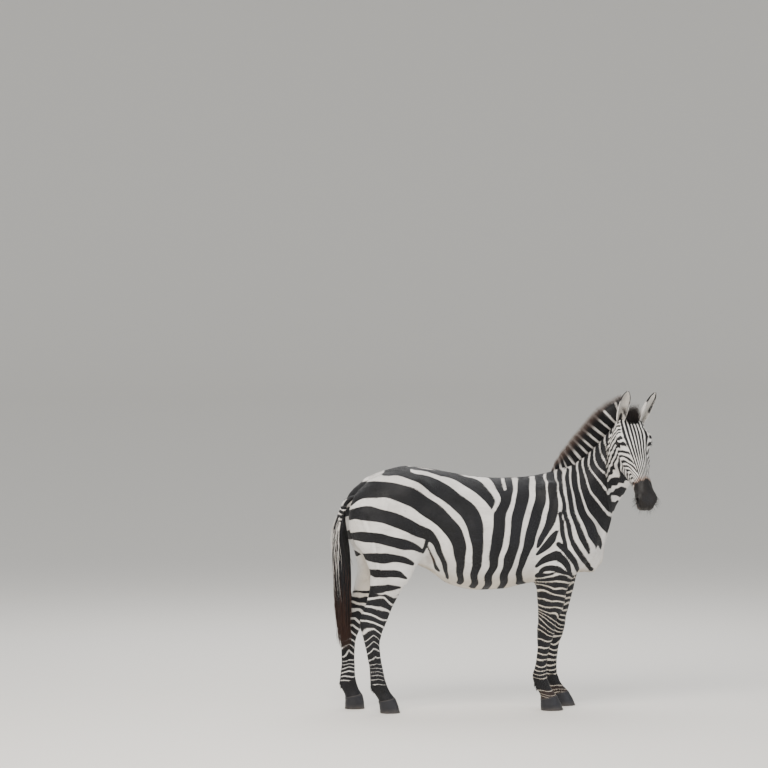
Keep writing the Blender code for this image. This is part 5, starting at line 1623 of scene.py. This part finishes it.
def coat_finish(name, tips=None, tip_from=0.6, pale_tip_from=0.6, tips_on_pale=0.5, rough=0.55):
    """Zebra hair: opaque keratin, white or nearly black by the markings, soft sheen, a fine grain."""
    material, tree, shader = new_material(name, **{
        "Roughness": rough, "IOR": 1.55, "Specular IOR Level": 0.28,
        "Sheen Weight": 0.06, "Sheen Roughness": 0.4})
    place = add(tree, "ShaderNodeTexCoord", out="Object")
    comb = place if tips else add(tree, ATTRIBUTE, out="Vector", attribute_name="comb")
    marks = []
    for label in ("mark_a", "mark_b", "mark_c", "mark_d", "blade"):
        mark = add(tree, ATTRIBUTE, out="Vector", attribute_name=label)
        marks += list(add(tree, "ShaderNodeSeparateXYZ", {0: mark}, out=None).outputs)
    stripe, number, brow, duty, counts, top, black, muzzle, rust_and_fold_shade, cream, period, face, _, _, high = marks

    # the markings: distances to the nearest edge, negative in the dark
    edges = []
    for count, spacing in ((number, period), (brow, BROW_PERIOD)):
        away = add(tree, MATH, {0: count, 1: 0.5}, operation="PINGPONG")
        away = add(tree, MATH, {0: duty, 1: -0.5, 2: away}, operation="MULTIPLY_ADD")
        edges.append(add(tree, MATH, {0: away, 1: spacing}, operation="MULTIPLY"))
    counted = add(tree, MIX, {0: top, 2: edges[0], 3: edges[1]})
    pattern = add(tree, MIX, {0: counts, 2: stripe, 3: counted})
    pattern = add(tree, MATH, {0: pattern, 1: black}, operation="MINIMUM")
    # single hairs cross a stripe's edge by a millimetre or so
    hairs = add(tree, NOISE, {"Vector": comb, "Scale": 260.0})
    pattern = add(tree, MATH, {0: hairs, 1: RAGGED, 2: pattern}, operation="MULTIPLY_ADD")
    dark = add(tree, RANGE, {0: pattern, 1: RAGGED, 2: 0.0}, **SMOOTH)

    # colours: locks about 11 mm apart are drawn for the real ones of 3 mm, which would not show
    broad = add(tree, NOISE, {"Vector": place, "Scale": 7.0, "Detail": 3.0})
    fine = add(tree, NOISE, {"Vector": comb, "Scale": 90.0, "Detail": 3.0})
    patches = add(tree, RANGE, {0: broad, 1: 0.35, 2: 0.70}, **SMOOTH)
    locks = add(tree, RANGE, {0: fine, 1: 0.45, 2: 0.80, 4: 0.35}, **SMOOTH)
    pale, ink = colour("#EAE7E2"), colour("#0A0A0C")
    for share, over in ((patches, "#DBD7D1"), (cream, "#D6CDBE"), (locks, "#AAA59E")):
        pale = add(tree, MIX, {0: share, 6: pale, 7: colour(over)}, **TINTS)
    # partly painted light: the faint blue of the black hair and of its lighter locks is painted sky
    # reflection, while the spread of tone from lock to lock is the hair's own
    for share, over in ((patches, "#121216"), (locks, "#26262D")):
        ink = add(tree, MIX, {0: share, 6: ink, 7: colour(over)}, **TINTS)
    if tips:
        luck = add(tree, ATTRIBUTE, out="Fac", attribute_name="luck")
        reach = add(tree, MATH, {0: luck, 1: 0.5, 2: high}, operation="MULTIPLY_ADD")
        worn, worn_pale = [
            add(tree, RANGE, {0: reach, 1: start + 0.4, 2: start + 0.4 + soft, 4: most}, **SMOOTH)
            for start, soft, most in ((tip_from, 0.3, 1.0), (pale_tip_from, 0.25, tips_on_pale))]
        ink = add(tree, MIX, {0: worn, 6: ink, 7: colour(tips)}, **TINTS)
        pale = add(tree, MIX, {0: worn_pale, 6: pale, 7: colour(tips)}, **TINTS)
    coat = add(tree, MIX, {0: dark, 6: pale, 7: ink}, **TINTS)
    # rust of the muzzle's border and the pasterns, and painted shade in the stifle fold, in one reddish
    # brown
    stain_and_fold_shade = add(tree, MATH, {0: fine, 1: 0.9, 2: 0.35}, operation="MULTIPLY_ADD")
    stain_and_fold_shade = add(tree, MATH, {0: stain_and_fold_shade, 1: rust_and_fold_shade}, operation="MULTIPLY")
    coat = add(tree, MIX, {0: stain_and_fold_shade, 6: coat, 7: colour("#6E4A33")}, **TINTS)
    nose = add(tree, MIX, {0: fine, 6: colour("#090808"), 7: colour("#1C1714")}, **TINTS)
    lip = add(tree, MATH, {0: cream, 1: face}, operation="MULTIPLY")
    nose = add(tree, MIX, {0: lip, 6: nose, 7: colour("#4E443D")}, **TINTS)
    coat = add(tree, MIX, {0: muzzle, 6: coat, 7: nose}, **TINTS)
    tree.links.new(coat, shader["Base Color"])

    gloss = add(tree, MATH, {0: fine, 1: 0.16, 2: rough - 0.06}, operation="MULTIPLY_ADD")
    gloss = add(tree, MATH, {0: muzzle, 1: -0.08, 2: gloss}, operation="MULTIPLY_ADD")
    tree.links.new(gloss, shader["Roughness"])
    if not tips:
        finer = add(tree, NOISE, {"Vector": comb, "Scale": 270.0, "Detail": 3.0})
        height = add(tree, MATH, {0: finer, 1: 0.6, 2: fine}, operation="MULTIPLY_ADD")
        bump = add(tree, "ShaderNodeBump", {"Height": height, "Strength": 0.5, "Distance": 0.0016})
        tree.links.new(bump, shader["Normal"])
    return material


def horn_finish():
    """Hoof horn: dark layered keratin, matt with dust, fine rings of growth and upright tubules."""
    material, tree, shader = new_material("hoof_horn_keratin", **{"IOR": 1.54, "Specular IOR Level": 0.4})
    place = add(tree, "ShaderNodeTexCoord", out="Object")
    around = add(tree, ATTRIBUTE, out="Vector", attribute_name="horn")
    share = add(tree, "ShaderNodeSeparateXYZ", {0: around})
    stretch = add(tree, "ShaderNodeMapping", {"Vector": around, "Scale": (1.2, 22.0, 1.0)})
    tubules = add(tree, NOISE, {"Vector": stretch, "Scale": 3.0, "Detail": 3.0})
    layers = add(tree, "ShaderNodeMapping", {"Vector": around, "Scale": (26.0, 0.5, 1.0)})
    layers = add(tree, NOISE, {"Vector": layers, "Scale": 1.0})
    dust = add(tree, NOISE, {"Vector": place, "Scale": 45.0, "Detail": 4.0})
    horn = add(tree, MIX, {0: tubules, 6: colour("#0D0D10"), 7: colour("#25252B")}, **TINTS)
    low = add(tree, RANGE, {0: share, 1: 0.35, 2: 0.0, 4: 0.55})
    crown = add(tree, RANGE, {0: share, 1: 0.92, 2: 1.0, 4: 0.5})
    dusty = add(tree, MATH, {0: low, 1: crown}, operation="ADD")
    dusty = add(tree, MATH, {0: dusty, 1: dust}, operation="MULTIPLY")
    horn = add(tree, MIX, {0: dusty, 6: horn, 7: colour("#6E665D")}, **TINTS)
    tree.links.new(horn, shader["Base Color"])
    height = add(tree, MATH, {0: layers, 1: tubules}, operation="ADD")
    bump = add(tree, "ShaderNodeBump", {"Height": height, "Strength": 0.5, "Distance": 0.0012})
    tree.links.new(bump, shader["Normal"])
    tree.links.new(add(tree, RANGE, {0: dust, 1: 0.2, 2: 0.8, 3: 0.36, 4: 0.62}), shader["Roughness"])
    return material


def eye_finish():
    """Wet cornea over a dark brown iris with a level oval pupil."""
    material, tree, shader = new_material("wet_eye", **{
        "Roughness": 0.06, "IOR": 1.376, "Coat Weight": 1.0, "Coat Roughness": 0.02})
    sight = add(tree, ATTRIBUTE, out="Vector", attribute_name="sight")
    fibres = add(tree, NOISE, {"Vector": sight, "Scale": 14.0, "Detail": 3.0})
    eye = add(tree, MIX, {0: fibres, 6: colour("#160D08"), 7: colour("#33200F")}, **TINTS)
    # ovals from the middle of the eye, in radians: pupil over iris, then the rim and the white
    for wide, high, soft, tone, inside in (
            (0.38, 0.22, 0.08, "#020202", 1), (0.84, 0.80, 0.06, "#0D0908", 0),
            (1.20, 1.15, 0.30, "#3B302B", 0)):
        squeezed = add(tree, "ShaderNodeMapping", {"Vector": sight, "Scale": (1 / wide, 1 / high, 1.0)})
        away = add(tree, VECTOR, {0: squeezed}, out=1, operation="LENGTH")
        share = add(tree, RANGE, {0: away, 1: 1 - soft, 2: 1 + soft, 3: inside, 4: 1 - inside}, **SMOOTH)
        eye = add(tree, MIX, {0: share, 6: eye, 7: colour(tone)}, **TINTS)
    tree.links.new(eye, shader["Base Color"])
    return material


def floor_finish():
    """Pale studio floor: smooth matt paint, so that the contact shadows read."""
    return new_material("pale_studio_floor", **{"Roughness": 0.85, "Base Color": colour("#E6E3DD")})[0]


# ------------------------------------------------------------------ putting the animal together
LEGS = ("foreleg_left", "foreleg_right", "hindleg_left", "hindleg_right")
HOOF_HAIR = 0.062  # the coat ends at this height, over the hooves
# middle of a hoof, height of the hair line there, and its slope
HOOF_TOPS = {"foreleg": (0.390, 0.074, 0.22), "hindleg": (-0.512, 0.074, 0.22)}
SHORT_COAT = coat_finish("short_zebra_coat")
LYING_TUFTS = coat_finish("zebra_coat_tufts", tips="#8B8378", tip_from=1.6, pale_tip_from=1.6, rough=0.62)
MANE_HAIR = coat_finish("stiff_mane_hair", tips="#48342A", tip_from=0.72, pale_tip_from=0.56,
                        tips_on_pale=0.85, rough=0.60)
TAIL_HAIR = coat_finish("long_tail_hair", tips="#3C2821", tip_from=0.56, pale_tip_from=1.6, rough=0.48)
FINE_HAIR = coat_finish("fine_face_hair", tips="#3A3432", tip_from=1.6, pale_tip_from=1.6, rough=0.5)
HORN, EYE = horn_finish(), eye_finish()

skin, rest, way, on_ear = build_skin()
unwrap(skin)
skin.data.materials.append(SHORT_COAT)
skin_map = SkinMap(skin)

pieces = [(skin, "striped_coat", ["trunk", "neck", "head", "ear_left", "ear_right", "tail_dock"]
           + [f"{leg}_{part}" for leg in LEGS for part in ("upper", "cannon")])]
for side, label in ((1, "eye_left"), (-1, "eye_right")):
    pieces.append((build_eyeball(side, f"{label}_ball", EYE), "eye", [label]))
for leg in LEGS:
    hoof = build_hoof(leg, HORN)
    hoof.name = f"{leg}_hoof_horn"
    pieces.append((hoof, "hoof_horn", [f"{leg}_hoof"]))

# short coat: lying tufts, grown on the skin region by region
normals = points_of(skin.data, "normal")
u, v, _ = head_place(rest)
face = is_head(rest)
head = face * ~on_ear
neck = smooth_step(-0.02, 0.02, beyond(rest, BASE_PLANE)) * (1 - face) * ~on_ear
legs = smooth_step(0.72, 0.68, rest[:, 2]) * ~on_ear * (head < 0.5)
trunk = (1 - neck) * (1 - legs) * (1 - face) * ~on_ear
left, rear = rest[:, 1] > 0, rest[:, 0] < -0.15
eye_gap, nostril_gap = [gap(head_side(rest), place) for place in (EYE_PLACE, NOSTRIL_PLACE)]
lip_gap = np.abs(v - between(u, *MOUTH)) + 0.05 * smooth_step(0.45, 0.43, u)
# nothing grows on the lids, in the nostrils and between the lips, and the muzzle's hair is short
grown = smooth_step(0.020, 0.026, eye_gap) * smooth_step(0.016, 0.026, nostril_gap)
grown = grown * smooth_step(0.006, 0.012, lip_gap)
short_face = 1 - 0.62 * smooth_step(0.40, 0.47, u) * head - 0.25 * smooth_step(0.045, 0.025, eye_gap)
# four pieces for the trunk, so that none holds too many tufts
quarters = {
    f"coat_{end}_{hand}": (trunk * there * on_side, 62000, 0.0100, 0.0012, 0.11)
    for end, there in (("shoulder", ~rear), ("rump", rear))
    for hand, on_side in (("left", left), ("right", ~left))}
# The real hairs are 0.1 mm thick: each tuft stands for the few dozen that lie together.
REGIONS = {
    # name: share of the skin, roots per square metre, length, half width, lift
    "coat_head": (head * grown, 135000, 0.0065, 0.0008, 0.12),
    "coat_neck": (neck, 125000, 0.0085, 0.0010, 0.12),
    **quarters,
    "coat_legs": (legs * (rest[:, 2] > HOOF_HAIR), 50000, 0.0085, 0.0012, 0.12),
    "coat_ears": (on_ear * 1.0, 150000, 0.0080, 0.0008, 0.16),
}
uv = uv_of(skin.data)
short_tree = hair_tree("lying_tufts", joints=1)
for number, (label, (region, roots, length, half, lift)) in enumerate(REGIONS.items()):
    surface = skin.data.copy()
    surface.materials.clear()
    put_attributes(surface, {
        "hair": region, "long": (1.0 + 0.25 * waves(rest, 0.12, 60 + number)) * short_face,
        "lie": along_skin(way, normals, lift), "flat": normals})
    put_attribute(surface, "root_uv", np.concatenate([uv, np.zeros((len(uv), 1))], 1), "CORNER")
    surface.uv_layers.remove(surface.uv_layers["OFBake"])
    tufts = grow(label, surface, short_tree, LYING_TUFTS, roots_per_square_metre=roots, length=length,
                 half_width=half, droop=0.10, spread=0.10, seed=100 + number)
    pieces.append((tufts, "striped_coat", []))

# mane and forelock
stiff_tree = hair_tree("standing_tufts", joints=3)
mane = crest_strip("mane", CREST, MANE_HEIGHT, skin_map, half=0.0125, fan=0.10, sink=0.012)
mane = grow("mane_tufts", mane, stiff_tree, MANE_HAIR, roots_per_square_metre=720000, length=1.0,
            half_width=0.0029, thickness_share=0.6, droop=0.02, spread=0.05, shortest=0.76, seed=7)
bed = build_bed("mane_bed", CREST, MANE_HEIGHT, MANE_HAIR, half=0.0085, top=0.66)
forelock_line = [on_head(a, b)[::2] for a, b in FORELOCK]
lock = crest_strip("forelock", forelock_line, FORELOCK_HEIGHT, skin_map,
                   half=0.028, fan=0.34, sink=0.006, all_dark=True)
lock = grow("forelock_tufts", lock, stiff_tree, MANE_HAIR, roots_per_square_metre=420000, length=1.0,
            half_width=0.0027, thickness_share=0.6, droop=0.12, spread=0.14, shortest=0.6, seed=8)
pieces += [(mane, "mane_hair", ["mane"]), (bed, "mane_hair", []), (lock, "mane_hair", ["forelock"])]
pieces.append((tail_hair(skin_map, TAIL_HAIR), "tail_hair", ["tail_tuft"]))

# whiskers and lashes, hair inside the ears, feather behind the fetlocks
ROOT_DEPTH = 0.001  # fine hairs start this far under the skin
rng = np.random.default_rng(21)
c, s = math.cos(HEAD_PITCH), math.sin(HEAD_PITCH)
on_lips = (head > 0.5) & (u > 0.47) & (v < -0.045) & (nostril_gap > 0.014)
chosen = rng.choice(np.flatnonzero(on_lips), 260, replace=False)
out = normals_at(rest[chosen])
whiskers = fine_hairs(
    "whiskers", rest[chosen] - ROOT_DEPTH * out, out + (0.35 * c, 0, 0.35 * s - 0.3),
    rng.uniform(0.012, 0.038, len(chosen)), FINE_HAIR, skin_map, width=0.00045, droop=(0.0, 0.0, -0.25))
roots, ways = [], []
gaze, along, up = facing(EYE_GAZE, EYE_LONG)
for side in (1, -1):
    for turn in rng.uniform(0.35, 2.7, 90):
        c, s = math.cos(turn), math.sin(turn)
        place = EYE_PLACE + along * EYE_HALF_LENGTH * c + up * EYE_UPPER * s
        place = place + gaze * (EYE_RADIUS * 0.9 - 0.25 * EYE_HALF_LENGTH * c ** 2)
        way_out = gaze + 0.35 * along * c - 0.35 * up + 0.10 * rng.normal(size=3)
        tip = place + 0.01 * way_out
        roots.append(on_head(place[0], place[1], place[2] * side))
        ways.append(np.array(on_head(tip[0], tip[1], tip[2] * side)) - roots[-1])
lashes = fine_hairs(
    "eyelashes", np.array(roots), np.array(ways),
    rng.uniform(0.009, 0.016, len(roots)), FINE_HAIR, skin_map, width=0.00045, droop=(0.0, 0.0, -0.3))
fetlocks = np.flatnonzero((rest[:, 2] > 0.118) & (rest[:, 2] < 0.150))
chosen = rng.choice(fetlocks[normals_at(rest[fetlocks])[:, 0] < -0.75], 420)
out = normals_at(rest[chosen])
feather = fine_hairs(
    "fetlock_hair", rest[chosen] - ROOT_DEPTH * out + rng.uniform(-0.002, 0.002, (len(chosen), 3)),
    0.8 * out + (0, 0, -1.0),
    rng.uniform(0.007, 0.014, len(chosen)), FINE_HAIR, skin_map, width=0.0007, droop=(0.15, 0.0, -0.3))
roots, ways = [], []
for side in (1, -1):
    q, _, facts = ear_grid(side)
    height, inward, _ = facts.T
    chosen = rng.choice(np.flatnonzero((inward > 0.5) & (height > 0.12) & (height < 0.80)), 260)
    middle = np.array([q[(height == h) & (inward > 0.5)].mean(0) for h in height[chosen]])
    roots.append(q[chosen])
    ways.append((middle - q[chosen]) * 18 + np.array(ear_axis(side)) * 0.9 + (0.35, 0.12 * side, -0.15))
roots, ways = np.concatenate(roots), np.concatenate(ways)
ear_hair = fine_hairs(
    "ear_hair", roots, ways,
    rng.uniform(0.012, 0.024, len(roots)), FINE_HAIR, skin_map,
    width=0.0006, droop=(0.0, 0.0, 0.0), dark=False)
pieces += [(hairs, "striped_coat", []) for hairs in (whiskers, lashes, feather, ear_hair)]


# ------------------------------------------------------------------ floor, light and camera
def build_floor():
    """Floor that curves up into a plain backdrop."""
    front, back, curve, half, high = -60, 32, 8, 80, 40
    profile = [(front, 0.0), (back, 0.0)]
    profile += [(back + curve * math.sin(a), curve - curve * math.cos(a))
                for a in np.linspace(0.1, math.pi / 2, 12)]
    profile += [(back + curve, high)]
    points = [(x, y, z) for y, z in profile for x in (-half, half)]
    faces = [(2 * i, 2 * i + 1, 2 * i + 3, 2 * i + 2) for i in range(len(profile) - 1)]
    mesh = mesh_of(points, faces, "floor")
    smooth_shaded(mesh)
    mesh.materials.append(floor_finish())
    return new_piece("floor", mesh)


def area_light(name, place, aim, size, power, tint="#FFFFFF"):
    light = bpy.data.lights.new(name, "AREA")
    light.size, light.energy, light.color = size, power, colour(tint)[:3]
    obj = bpy.data.objects.new(name, light)
    bpy.context.scene.collection.objects.link(obj)
    obj.location = place
    obj.rotation_euler = (Vector(aim) - Vector(place)).to_track_quat("-Z", "Y").to_euler()


CAMERA_AZIMUTH, CAMERA_ELEVATION = math.radians(-8), math.radians(3)
CAMERA_AIM = Vector((-0.5984, 0.0791, 1.793))
CAMERA_AWAY, FRAME_WIDTH = 26.0, 4.197  # distance, and how much the frame holds at the aim
SENSOR = 36.0  # its width in millimetres
build_floor()
area_light("key_light", (-2.5, -4.0, 5.0), (0, 0, 0.8), 3.5, 460, "#FFF8F0")
area_light("fill_light", (4.5, -4.5, 2.5), (0, 0, 0.8), 4.0, 110, "#F3F6FF")
area_light("rim_light", (0.0, 3.2, 5.2), (0, 0, 1.2), 5.5, 250)
world = bpy.data.worlds.new("studio")
world.use_nodes = True
world.node_tree.nodes["Background"].inputs["Color"].default_value = colour("#EEF0F2")
world.node_tree.nodes["Background"].inputs["Strength"].default_value = 0.80
bpy.context.scene.world = world

lens = bpy.data.cameras.new("camera")
lens.sensor_width, lens.lens = SENSOR, SENSOR * CAMERA_AWAY / FRAME_WIDTH
lens.clip_end = 200
camera = bpy.data.objects.new("camera", lens)
bpy.context.scene.collection.objects.link(camera)
away = Vector((math.sin(CAMERA_AZIMUTH) * math.cos(CAMERA_ELEVATION),
               -math.cos(CAMERA_AZIMUTH) * math.cos(CAMERA_ELEVATION), math.sin(CAMERA_ELEVATION)))
camera.location = CAMERA_AIM + away * CAMERA_AWAY
camera.rotation_euler = (-away).to_track_quat("-Z", "Y").to_euler()
bpy.context.scene.camera = camera

for piece, slot, nodes in pieces:
    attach(piece, "root")
    if nodes:
        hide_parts(*nodes)
